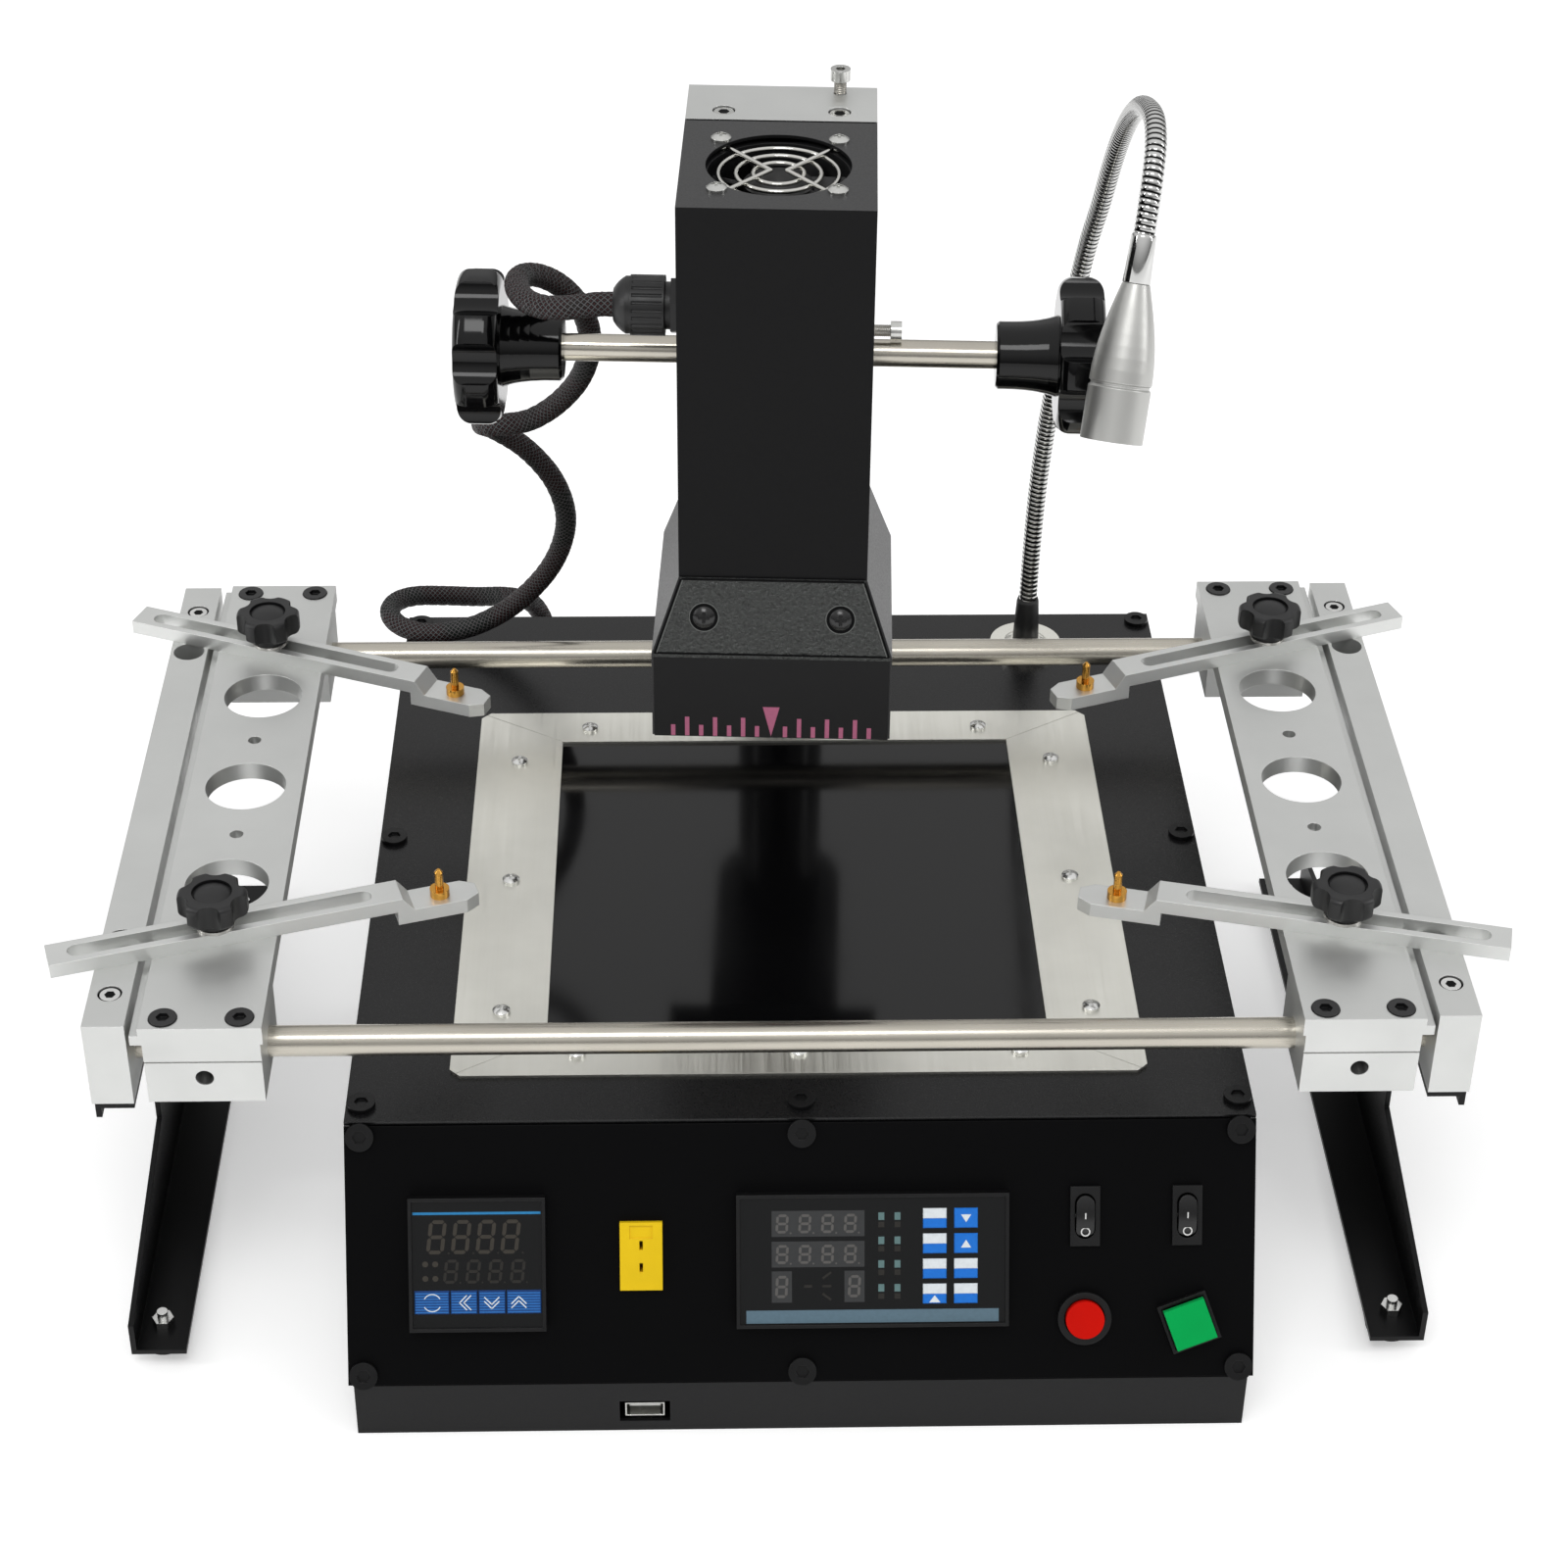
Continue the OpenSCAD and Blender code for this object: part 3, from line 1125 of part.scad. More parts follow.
module clamp_knob(i) {
    color(dark_plastic) at_hold(i) translate([0, 0, arm_t + washer_t]) {
        difference() {
            union() {
                cylinder(d = 13, h = knob_hub_h + eps);
                translate([0, 0, knob_hub_h]) star(clamp_knob_d, 6, 5, knob_h - knob_hub_h, 2);
            }
            translate([0, 0, knob_h - 1.5]) cylinder(d = cap_d, h = 3);
        }
        translate([0, 0, knob_h - 1.5 - eps]) intersection() {
            cylinder(d = cap_d - 1, h = 3);
            translate([0, 0, 2.2 - cap_d]) sphere(r = cap_d);
        }
        translate([0, 0, -arm_t - washer_t - plate_t])
            cylinder(d = stud_d, h = arm_t + washer_t + plate_t + eps);
    }
}
module arm_front_left() { arm(0); }
module arm_front_right() { arm(1); }
module arm_rear_left() { arm(2); }
module arm_rear_right() { arm(3); }
module pin_front_left() { pin(0); }
module pin_front_right() { pin(1); }
module pin_rear_left() { pin(2); }
module pin_rear_right() { pin(3); }
module washer_front_left() { washer(0); }
module washer_front_right() { washer(1); }
module washer_rear_left() { washer(2); }
module washer_rear_right() { washer(3); }
module knob_front_left() { clamp_knob(0); }
module knob_front_right() { clamp_knob(1); }
module knob_rear_left() { clamp_knob(2); }
module knob_rear_right() { clamp_knob(3); }

base_tray();
top_plate();
front_panel();
black_screws();
lower_heater();
heater_glass();
heater_frame();
steel_screws();
controllers();
sensor_socket();
usb_port();
switch_bezels();
rear_connectors();
column();
head_arm();
lift_rack();
guide_rods();
end_bars();
legs();
feet();
lamp_base();
cable_lower();
gooseneck();
lamp_head();
head_carriage();
head_cover();
heater_hood();
head_screws();
fan_frame();
fan_guard();
upper_heater();
head_gland();
cable_upper();
fan_rotor();
pinion_shaft();
lift_knobs();
carriage_left();
carriage_left_screws();
carriage_right();
carriage_right_screws();
arm_front_left();
arm_front_right();
arm_rear_left();
arm_rear_right();
pin_front_left();
pin_front_right();
pin_rear_left();
pin_rear_right();
washer_front_left();
washer_front_right();
washer_rear_left();
washer_rear_right();
knob_front_left();
knob_front_right();
knob_rear_left();
knob_rear_right();
light_switch_rocker();
fan_switch_rocker();
stop_button_cap();
start_button_cap();
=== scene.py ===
"""Finishes, cable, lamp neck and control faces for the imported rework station."""

import math

import bpy
from mathutils import Matrix, Vector


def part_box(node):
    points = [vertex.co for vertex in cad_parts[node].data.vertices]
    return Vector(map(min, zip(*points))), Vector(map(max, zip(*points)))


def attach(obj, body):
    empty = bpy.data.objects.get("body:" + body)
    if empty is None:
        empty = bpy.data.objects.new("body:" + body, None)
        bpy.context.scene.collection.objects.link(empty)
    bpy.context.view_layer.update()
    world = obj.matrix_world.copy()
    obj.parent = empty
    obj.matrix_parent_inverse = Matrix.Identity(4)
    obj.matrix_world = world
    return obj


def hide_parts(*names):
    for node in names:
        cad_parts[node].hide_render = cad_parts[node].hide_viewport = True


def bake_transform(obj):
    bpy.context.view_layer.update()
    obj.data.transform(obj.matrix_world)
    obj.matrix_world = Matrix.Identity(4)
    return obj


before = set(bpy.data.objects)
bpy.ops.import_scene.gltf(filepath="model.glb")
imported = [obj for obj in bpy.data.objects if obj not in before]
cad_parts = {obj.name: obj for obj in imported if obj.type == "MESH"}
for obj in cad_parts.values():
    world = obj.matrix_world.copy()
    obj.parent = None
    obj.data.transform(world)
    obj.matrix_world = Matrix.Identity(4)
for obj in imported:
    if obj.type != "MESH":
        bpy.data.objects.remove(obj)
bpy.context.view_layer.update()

bl_info = {
    "name": "Rework station dressing",
    "version": (1, 0, 0),
    "blender": (4, 5, 0),
    "location": "View3D > Sidebar > Station",
    "description": "Gives the packed rework station its finishes, cable, lamp neck and control faces",
    "category": "Object",
}

MM = 0.001
PRINT_THICKNESS = 0.04

# Texture coordinates of a tube hold the distance along it times this scale
ALONG_SCALE = 10.0

CORNERS = ("front_left", "front_right", "rear_left", "rear_right")


def tone(red, green, blue):
    """Linear colour of a tone written as 0 to 255 on a screen."""
    out = []
    for value in (red, green, blue):
        c = value / 255
        out.append(c / 12.92 if c <= 0.04045 else ((c + 0.055) / 1.055) ** 2.4)
    return tuple(out)


def mm(x, y, z):
    """Place in metres from millimetres."""
    return Vector((x, y, z)) * MM


# Places on the object, from the same sizes as the solids

PANEL_FOLD = math.atan2(46.0, 84.0)
HEAD_TURN = math.radians(-2.7)
COLUMN_Y = 130.0
LAMP_FOOT = (105.0, 140.0, 107.5)
HOOD_FRONT = -69.5
COVER_FRONT = -61.0
COVER_BACK = 10.0
HEAD_TOP = 405.5
HOOD_BOTTOM = 204.0
HOOD_KNEE = 238.0
HOOD_TOP = 265.0


def on_panel(across, down):
    """Frame on the sloping front panel: X to the right, Y up the slope, Z out of the panel."""
    s, c = math.sin(PANEL_FOLD), math.cos(PANEL_FOLD)
    spot = mm(across, -166.0 - down * s, 107.5 - down * c)
    turn = Matrix(((1, 0, 0), (0, s, -c), (0, c, s))).to_4x4()
    return Matrix.Translation(spot) @ turn


def on_head():
    """Turn of the head about the column; places on it are given as if it faced straight ahead."""
    pivot = Matrix.Translation(mm(0, COLUMN_Y, 0))
    return pivot @ Matrix.Rotation(HEAD_TURN, 4, "Z") @ pivot.inverted()


# Smooth routes and tubes


def smooth_route(points, steps):
    """Points of a curve that passes through all the given points."""
    last = len(points) - 1
    route = []
    for i in range(last):
        a, b = points[max(i - 1, 0)], points[i]
        c, d = points[i + 1], points[min(i + 2, last)]
        for k in range(steps):
            t = k / steps
            route.append(0.5 * (2 * b + (c - a) * t + (2 * a - 5 * b + 4 * c - d) * t * t
                                + (3 * b - a - 3 * c + d) * t * t * t))
    route.append(points[last])
    return route


def even_route(points, spacing):
    """The same line with points an equal distance apart."""
    lengths = [0.0]
    for a, b in zip(points, points[1:]):
        lengths.append(lengths[-1] + (b - a).length)
    count = max(2, round(lengths[-1] / spacing))
    route, k = [], 0
    for i in range(count + 1):
        want = lengths[-1] * i / count
        while k < len(points) - 2 and lengths[k + 1] < want:
            k += 1
        share = (want - lengths[k]) / max(lengths[k + 1] - lengths[k], 1e-9)
        route.append(points[k].lerp(points[k + 1], share))
    return route


def ring_faces(rings, around):
    """Faces of a closed tube made of rings of points, with its two end caps."""
    faces = []
    for i in range(rings - 1):
        for k in range(around):
            k2 = (k + 1) % around
            faces.append((i * around + k, i * around + k2, (i + 1) * around + k2, (i + 1) * around + k))
    faces.append(tuple(range(around - 1, -1, -1)))
    faces.append(tuple((rings - 1) * around + k for k in range(around)))
    return faces


def tube_mesh(name, route, around, radius_at, first, last):
    """Closed tube along a route; radius_at gives the radius at a ring's distance and angle."""
    count = len(route)
    heads = []
    for i in range(count):
        heads.append((route[min(i + 1, count - 1)] - route[max(i - 1, 0)]).normalized())
    heads[0] = Vector(first).normalized()
    heads[-1] = Vector(last).normalized()
    side = heads[0].orthogonal().normalized()
    verts, uvs, run = [], [], 0.0
    for i, spot in enumerate(route):
        if i:
            run += (spot - route[i - 1]).length
        side = (side - side.dot(heads[i]) * heads[i]).normalized()
        up = heads[i].cross(side)
        for k in range(around):
            angle = 2 * math.pi * k / around
            r = radius_at(run, angle)
            verts.append(spot + r * (math.cos(angle) * side + math.sin(angle) * up))
            uvs.append((k / around, run))
    mesh = bpy.data.meshes.new(name)
    mesh.from_pydata([tuple(v) for v in verts], [], ring_faces(count, around))
    layer = mesh.uv_layers.new(name="Along")
    for polygon in mesh.polygons:
        wraps = len(polygon.vertices) == 4 and max(uvs[v][0] for v in polygon.vertices) > 0.9
        for loop in polygon.loop_indices:
            u, v = uvs[mesh.loops[loop].vertex_index]
            if wraps and u < 0.1:
                u += 1.0
            layer.data[loop].uv = (u, v * ALONG_SCALE)
        polygon.use_smooth = len(polygon.vertices) == 4
    return mesh


def turned_mesh(name, profile, sides):
    """Solid of revolution about Z from a list of radius and height."""
    verts = []
    for r, z in profile:
        for k in range(sides):
            a = 2 * math.pi * k / sides
            verts.append((r * math.cos(a), r * math.sin(a), z))
    mesh = bpy.data.meshes.new(name)
    mesh.from_pydata(verts, [], ring_faces(len(profile), sides))
    for polygon in mesh.polygons:
        polygon.use_smooth = len(polygon.vertices) == 4
    return mesh


def place_piece(name, mesh, body, slot, *finishes):
    """Links a mesh as a piece of a body, with its finishes."""
    piece = bpy.data.objects.new(name, mesh)
    bpy.context.scene.collection.objects.link(piece)
    for finish in finishes:
        mesh.materials.append(finish)
    if body:
        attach(piece, body)
    return piece


def dress(finish, *names):
    """Gives one finish to solids of the frame."""
    for name in names:
        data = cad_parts[name].data
        data.materials.clear()
        data.materials.append(finish)


def node_mesh(name):
    """Copy of a solid's mesh, without its finish."""
    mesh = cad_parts[name].data.copy()
    mesh.materials.clear()
    return mesh


def second_finish(mesh, where):
    """Puts a piece's second finish on the faces for which where is true."""
    for polygon in mesh.polygons:
        polygon.material_index = 1 if where(polygon) else 0


class FaceArt:
    """Thin shapes on a flat face, each in one of the face's finishes."""

    def __init__(self, place):
        self.place = place
        self.verts, self.faces, self.tones = [], [], []

    def shape(self, points, height, finish):
        start = len(self.verts)
        self.verts += [self.place @ mm(x, y, height) for x, y in points]
        self.faces.append(tuple(range(start, start + len(points))))
        self.tones.append(finish)

    def box(self, x0, y0, x1, y1, height, finish):
        self.shape([(x0, y0), (x1, y0), (x1, y1), (x0, y1)], height, finish)

    def key(self, x0, y0, x1, y1, low, high, finish):
        """Raised key top with sloping sides."""
        inset = 0.35
        top = [(x0 + inset, y0 + inset), (x1 - inset, y0 + inset),
               (x1 - inset, y1 - inset), (x0 + inset, y1 - inset)]
        foot = [(x0, y0), (x1, y0), (x1, y1), (x0, y1)]
        start = len(self.verts)
        self.verts += [self.place @ mm(x, y, low) for x, y in foot]
        self.verts += [self.place @ mm(x, y, high) for x, y in top]
        self.faces.append(tuple(start + 4 + k for k in range(4)))
        self.tones.append(finish)
        for k in range(4):
            k2 = (k + 1) % 4
            self.faces.append((start + k, start + k2, start + 4 + k2, start + 4 + k))
            self.tones.append(finish)

    def ring(self, x, y, inner, outer, height, finish, turn=(0.0, 360.0), steps=40):
        start, span = math.radians(turn[0]), math.radians(turn[1] - turn[0])
        for k in range(steps):
            a, b = start + span * k / steps, start + span * (k + 1) / steps
            self.shape([(x + inner * math.cos(a), y + inner * math.sin(a)),
                        (x + outer * math.cos(a), y + outer * math.sin(a)),
                        (x + outer * math.cos(b), y + outer * math.sin(b)),
                        (x + inner * math.cos(b), y + inner * math.sin(b))], height, finish)

    def disc(self, x, y, radius, height, finish, steps=28):
        turns = [2 * math.pi * k / steps for k in range(steps)]
        self.shape([(x + radius * math.cos(a), y + radius * math.sin(a)) for a in turns], height, finish)

    def stroke(self, points, width, height, finish):
        for (x0, y0), (x1, y1) in zip(points, points[1:]):
            along = Vector((x1 - x0, y1 - y0)).normalized() * width / 2
            nx, ny = -along.y, along.x
            x0, y0, x1, y1 = x0 - along.x, y0 - along.y, x1 + along.x, y1 + along.y
            self.shape([(x0 - nx, y0 - ny), (x1 - nx, y1 - ny), (x1 + nx, y1 + ny), (x0 + nx, y0 + ny)],
                       height, finish)

    def digit(self, x, y, width, tall, bar, height, finish, lean=0.12):
        """Seven-segment figure, all bars, leaning to the right."""
        w, h, t, g = width / 2, tall / 2, bar, bar * 0.16
        flat = [(-w + t / 2 + g, 0), (-w + t + g, t / 2), (w - t - g, t / 2), (w - t / 2 - g, 0),
                (w - t - g, -t / 2), (-w + t + g, -t / 2)]
        stand = [(0, g), (t / 2, t / 2 + g), (t / 2, h - t - g), (0, h - t / 2 - g),
                 (-t / 2, h - t - g), (-t / 2, t / 2 + g)]
        bars = [[(px, py + dy) for px, py in flat] for dy in (h - t / 2, 0, -h + t / 2)]
        for dx in (-w + t / 2, w - t / 2):
            bars.append([(px + dx, py) for px, py in stand])
            bars.append([(px + dx, -py) for px, py in reversed(stand)])
        for points in bars:
            self.shape([(x + px + lean * py, y + py) for px, py in points], height, finish)

    def socket(self, x, y, head, bore, height):
        """Painted shade in the gap round a sunk screw head and in the hexagon socket of the head."""
        self.ring(x, y, head, bore, height - 0.3, "gap", steps=28)
        self.disc(x, y, head * 0.56, height, "gap", steps=6)

    def piece(self, name, body, slot, finishes):
        mesh = bpy.data.meshes.new(name)
        mesh.from_pydata([tuple(v) for v in self.verts], [], self.faces)
        order = list(finishes)
        for polygon, finish in zip(mesh.polygons, self.tones):
            polygon.material_index = order.index(finish)
        out = self.place.to_3x3() @ Vector((0, 0, 1))
        for polygon in mesh.polygons:
            if polygon.normal.dot(out) < -0.5:
                polygon.flip()
        piece = place_piece(name, mesh, body, slot, *finishes.values())
        plate = piece.modifiers.new("print_thickness", "SOLIDIFY")
        plate.thickness, plate.offset = PRINT_THICKNESS * MM, -1.0
        return piece


# Finishes

NOISE_LOW, NOISE_HIGH = 0.3, 0.7


class Finish:
    """Builds one material around its principled shader."""

    def __init__(self, name, colour, rough, metal=0.0, specular=0.5):
        self.material = bpy.data.materials.new(name)
        self.material.use_nodes = True
        self.tree = self.material.node_tree
        self.shader = self.tree.nodes["Principled BSDF"]
        self.colour = colour
        self.set(Base_Color=(*colour, 1), Roughness=rough, Metallic=metal, Specular_IOR_Level=specular)
        self.normal = None
        spot = self.node("ShaderNodeTexCoord")
        self.spot = spot.outputs["Object"]
        self.along = spot.outputs["UV"]

    def set(self, **values):
        for name, value in values.items():
            self.shader.inputs[name.replace("_", " ")].default_value = value

    def node(self, kind, links=None, **settings):
        made = self.tree.nodes.new(kind)
        for name, value in settings.items():
            if name in made.inputs:
                made.inputs[name].default_value = value
            else:
                setattr(made, name, value)
        for name, source in (links or {}).items():
            self.tree.links.new(source, made.inputs[name])
        return made

    def link(self, source, name):
        self.tree.links.new(source, self.shader.inputs[name])

    def calc(self, operation, *values):
        """Result of a calculation with numbers and other nodes' outputs."""
        made = self.node("ShaderNodeMath", operation=operation)
        for socket, value in zip(made.inputs, values):
            if isinstance(value, float):
                socket.default_value = value
            else:
                self.tree.links.new(value, socket)
        return made.outputs["Value"]

    def ramp(self, source, *stops):
        """Colour that follows source from one stop to the other; a stop is a place and a colour."""
        made = self.node("ShaderNodeValToRGB", {"Fac": source})
        for element, (place, colour) in zip(made.color_ramp.elements, stops):
            element.position = place
            element.color = (*colour, 1)
        return made.outputs["Color"]

    def stretched(self, source, start, stop, low=0.0, high=1.0):
        """Source between start and stop, stretched to run from low to high."""
        made = self.node("ShaderNodeMapRange", {"Value": source})
        limits = {"From Min": start, "From Max": stop, "To Min": low, "To Max": high}
        for name, value in limits.items():
            made.inputs[name].default_value = value
        return made.outputs["Result"]

    def noise(self, scale, detail=3.0, rough=0.55, stretch=None):
        spot = self.spot
        if stretch:
            spot = self.node("ShaderNodeMapping", {"Vector": spot}, Scale=stretch).outputs["Vector"]
        made = self.node("ShaderNodeTexNoise", {"Vector": spot}, Scale=scale, Detail=detail, Roughness=rough)
        return made.outputs["Fac"]

    def blotch(self, source, amount):
        """Lightens and darkens the colour a little, following source."""
        dark, light = ([min(1.0, c * gain) for c in self.colour] for gain in (1 - amount, 1 + amount))
        shade = self.ramp(source, (NOISE_LOW, dark), (NOISE_HIGH, light))
        self.link(shade, "Base Color")
        return shade

    def uneven(self, source, low, high):
        """Spreads the roughness between two values, following source."""
        self.link(self.stretched(source, NOISE_LOW, NOISE_HIGH, low, high), "Roughness")

    def soft_edges(self, radius):
        """Rounds the shading of sharp edges."""
        self.normal = self.node("ShaderNodeBevel", samples=4, Radius=radius * MM).outputs["Normal"]
        self.link(self.normal, "Normal")

    def bump(self, source, depth, strength=0.6):
        made = self.node("ShaderNodeBump", {"Height": source}, Strength=strength, Distance=depth * MM)
        if self.normal:
            self.tree.links.new(self.normal, made.inputs["Normal"])
        self.normal = made.outputs["Normal"]
        self.link(self.normal, "Normal")

    def painted_edge_highlight(self, colour_from, highlight_colour, radius, amount):
        """Painted highlight: mixes a paler tone into sharp edges, where the rounded normal turns away from
        the face's own normal.
        """
        bevel = self.node("ShaderNodeBevel", samples=4, Radius=radius * MM)
        flat = self.node("ShaderNodeNewGeometry")
        turn = self.node("ShaderNodeVectorMath", {0: bevel.outputs["Normal"]}, operation="DOT_PRODUCT")
        self.tree.links.new(flat.outputs["Normal"], turn.inputs[1])
        edge = self.stretched(turn.outputs["Value"], 0.995, 0.9, high=amount)
        mix = self.node("ShaderNodeMix", {"Factor": edge}, data_type="RGBA")
        self.tree.links.new(colour_from, mix.inputs["A"])
        mix.inputs["B"].default_value = (*highlight_colour, 1)
        self.link(mix.outputs["Result"], "Base Color")


def painted_sheet(name, colour, rough, specular, grain):
    """Satin powder coat on steel sheet with a faint orange peel, and a painted highlight along its edges."""
    made = Finish(name, colour, rough, specular=specular)
    made.soft_edges(0.5)
    fine = made.noise(1500.0, 2.0)
    made.bump(fine, grain, 0.5)
    broad = made.noise(14.0, 3.0)
    shade = made.blotch(broad, 0.06)
    # Painted highlight: a paler copy of the paint along the edges
    made.painted_edge_highlight(shade, tuple(min(1.0, c * 2.2 + 0.01) for c in colour), 0.5, 0.5)
    made.uneven(fine, rough - 0.06, rough + 0.06)
    return made.material


def leather_paint(name, colour):
    """Coarse textured paint of the hood's front."""
    made = Finish(name, colour, 0.32, specular=0.6)
    coarse = made.noise(820.0, 2.0, 0.5)
    made.bump(coarse, 1.3, 1.0)
    made.blotch(coarse, 0.6)
    return made.material


def blasted_aluminium(name, colour):
    """Fine blasted and anodised aluminium with painted highlights along its edges."""
    made = Finish(name, colour, 0.42, metal=0.85)
    made.soft_edges(0.35)
    fine = made.noise(2600.0, 2.0)
    made.bump(fine, 0.03, 0.35)
    shade = made.blotch(made.noise(22.0, 4.0), 0.035)
    # Painted highlight: near-white along the edges
    made.painted_edge_highlight(shade, (0.93, 0.93, 0.92), 0.3, 0.8)
    made.uneven(made.noise(60.0, 4.0), 0.38, 0.48)
    return made.material


def drawn_steel(name, colour, rough, stretch, depth=0.015):
    """Steel with drawing lines along one axis."""
    made = Finish(name, colour, rough, metal=1.0)
    made.soft_edges(0.25)
    lines = made.noise(900.0, 3.0, 0.6, stretch)
    made.bump(lines, depth, 0.3)
    made.uneven(lines, rough * 0.8, rough * 1.3)
    made.blotch(made.noise(30.0, 3.0), 0.05)
    return made.material


def moulded_plastic(name, colour, rough, grain, specular=0.5):
    """Moulded plastic with a fine surface grain."""
    made = Finish(name, colour, rough, specular=specular)
    made.soft_edges(0.35)
    fine = made.noise(1800.0, 2.0)
    made.bump(fine, grain, 0.4)
    made.uneven(made.noise(90.0, 3.0), rough * 0.85, rough * 1.2)
    made.blotch(made.noise(40.0, 3.0), 0.05)
    return made.material


def turned_metal(name, colour, rough):
    """Lathe-turned metal with tool rings."""
    made = Finish(name, colour, rough, metal=1.0)
    made.soft_edges(0.2)
    rings = made.noise(1600.0, 2.0, 0.5, (0.15, 0.15, 1.0))
    made.bump(rings, 0.02, 0.4)
    made.blotch(made.noise(120.0, 3.0), 0.07)
    made.uneven(rings, rough * 0.8, rough * 1.3)
    return made.material


def printed(name, colour, rough=0.45, specular=0.3):
    """Print, lamp window, or a strip of painted shade or painted highlight: an even tone with a trace of
    mottling.
    """
    made = Finish(name, colour, rough, specular=specular)
    made.blotch(made.noise(700.0, 2.0), 0.05)
    made.bump(made.noise(2200.0, 1.0), 0.01, 0.3)
    return made.material


# Settings a user would change


class StationColours(bpy.types.PropertyGroup):
    """Colours of the station's finishes."""

    top_paint: bpy.props.FloatVectorProperty(
        name="Top paint", description="Paint of the top plate, tray and legs", subtype="COLOR", size=3,
        min=0, max=1, default=tone(17, 17, 18))
    panel_paint: bpy.props.FloatVectorProperty(
        name="Panel paint", description="Paint of the sloping control panel", subtype="COLOR", size=3,
        min=0, max=1, default=tone(6, 6, 7))
    head_paint: bpy.props.FloatVectorProperty(
        name="Head paint", description="Paint of the head cover and hood", subtype="COLOR", size=3,
        min=0, max=1, default=tone(17, 17, 18))
    apron_paint: bpy.props.FloatVectorProperty(
        name="Apron paint", description="Textured paint of the hood's front apron", subtype="COLOR", size=3,
        min=0, max=1, default=tone(35, 38, 36))
    aluminium: bpy.props.FloatVectorProperty(
        name="Aluminium", description="Blasted aluminium of the stand and head block",
        subtype="COLOR", size=3, min=0, max=1, default=tone(211, 212, 210))
    rod_steel: bpy.props.FloatVectorProperty(
        name="Rod steel", description="Drawn steel of the guide rods and lift shaft", subtype="COLOR", size=3,
        min=0, max=1, default=tone(190, 185, 174))
    strip_steel: bpy.props.FloatVectorProperty(
        name="Strip steel", description="Polished steel of the heater frame", subtype="COLOR", size=3,
        min=0, max=1, default=tone(236, 235, 227))
    brass: bpy.props.FloatVectorProperty(
        name="Brass", description="Brass of the board pins", subtype="COLOR", size=3,
        min=0, max=1, default=tone(205, 152, 70))
    scale_pink: bpy.props.FloatVectorProperty(
        name="Scale print", description="Print of the scale on the hood", subtype="COLOR", size=3,
        min=0, max=1, default=tone(176, 98, 128))
    key_blue: bpy.props.FloatVectorProperty(
        name="Key blue", description="Blue of the controller keys", subtype="COLOR", size=3,
        min=0, max=1, default=tone(28, 116, 214))


class StationSizes(bpy.types.PropertyGroup):
    """Sizes of the pieces that are added to the solids."""

    cable_diameter: bpy.props.FloatProperty(
        name="Cable diameter", description="Outside of the braided sleeve", subtype="DISTANCE", unit="LENGTH",
        min=0.006, max=0.010, default=0.0086)
    rib_pitch: bpy.props.FloatProperty(
        name="Neck rib pitch", description="Distance between the ribs of the gooseneck", subtype="DISTANCE",
        unit="LENGTH", min=0.001, max=0.004, default=0.0022)
    apron_thickness: bpy.props.FloatProperty(
        name="Apron thickness", description="Sheet of the hood's front apron", subtype="DISTANCE",
        unit="LENGTH", min=0.0004, max=0.0015, default=0.0008)
    thread_pitch: bpy.props.FloatProperty(
        name="Thread pitch", description="Pitch of the open screw threads on the head", subtype="DISTANCE",
        unit="LENGTH", min=0.0004, max=0.001, default=0.0007)


class StationLight(bpy.types.PropertyGroup):
    """Lamps and backdrop."""

    key_power: bpy.props.FloatProperty(
        name="Key lamp", description="Power of the large lamp above", unit="POWER",
        min=0, max=200, default=7.0)
    side_power: bpy.props.FloatProperty(
        name="Side lamps", description="Power of each side lamp", unit="POWER", min=0, max=200, default=4.0)
    sky: bpy.props.FloatProperty(
        name="Room light", description="Strength of the room light", min=0, max=2, default=1.0)
    lens: bpy.props.FloatProperty(
        name="Lens", description="Focal length of the camera, in millimetres", min=20, max=200, default=74.19)


# Stage

CAMERA_SPOT = (-35.08, -1027.10, 856.21)
CAMERA_YAW, CAMERA_PITCH, CAMERA_ROLL = 0.0319, 0.6123, 0.012
SENSOR_WIDTH = 36.0
FLOOR_REACH = 40.0
FLOOR_WHITE = (0.84, 0.84, 0.84)
FLOOR_GLOW = 0.38
ROOM_BELOW, ROOM_LEVEL, ROOM_ABOVE = (0.16, 0.16, 0.16, 1), (0.76, 0.76, 0.76, 1), (0.9, 0.9, 0.9, 1)


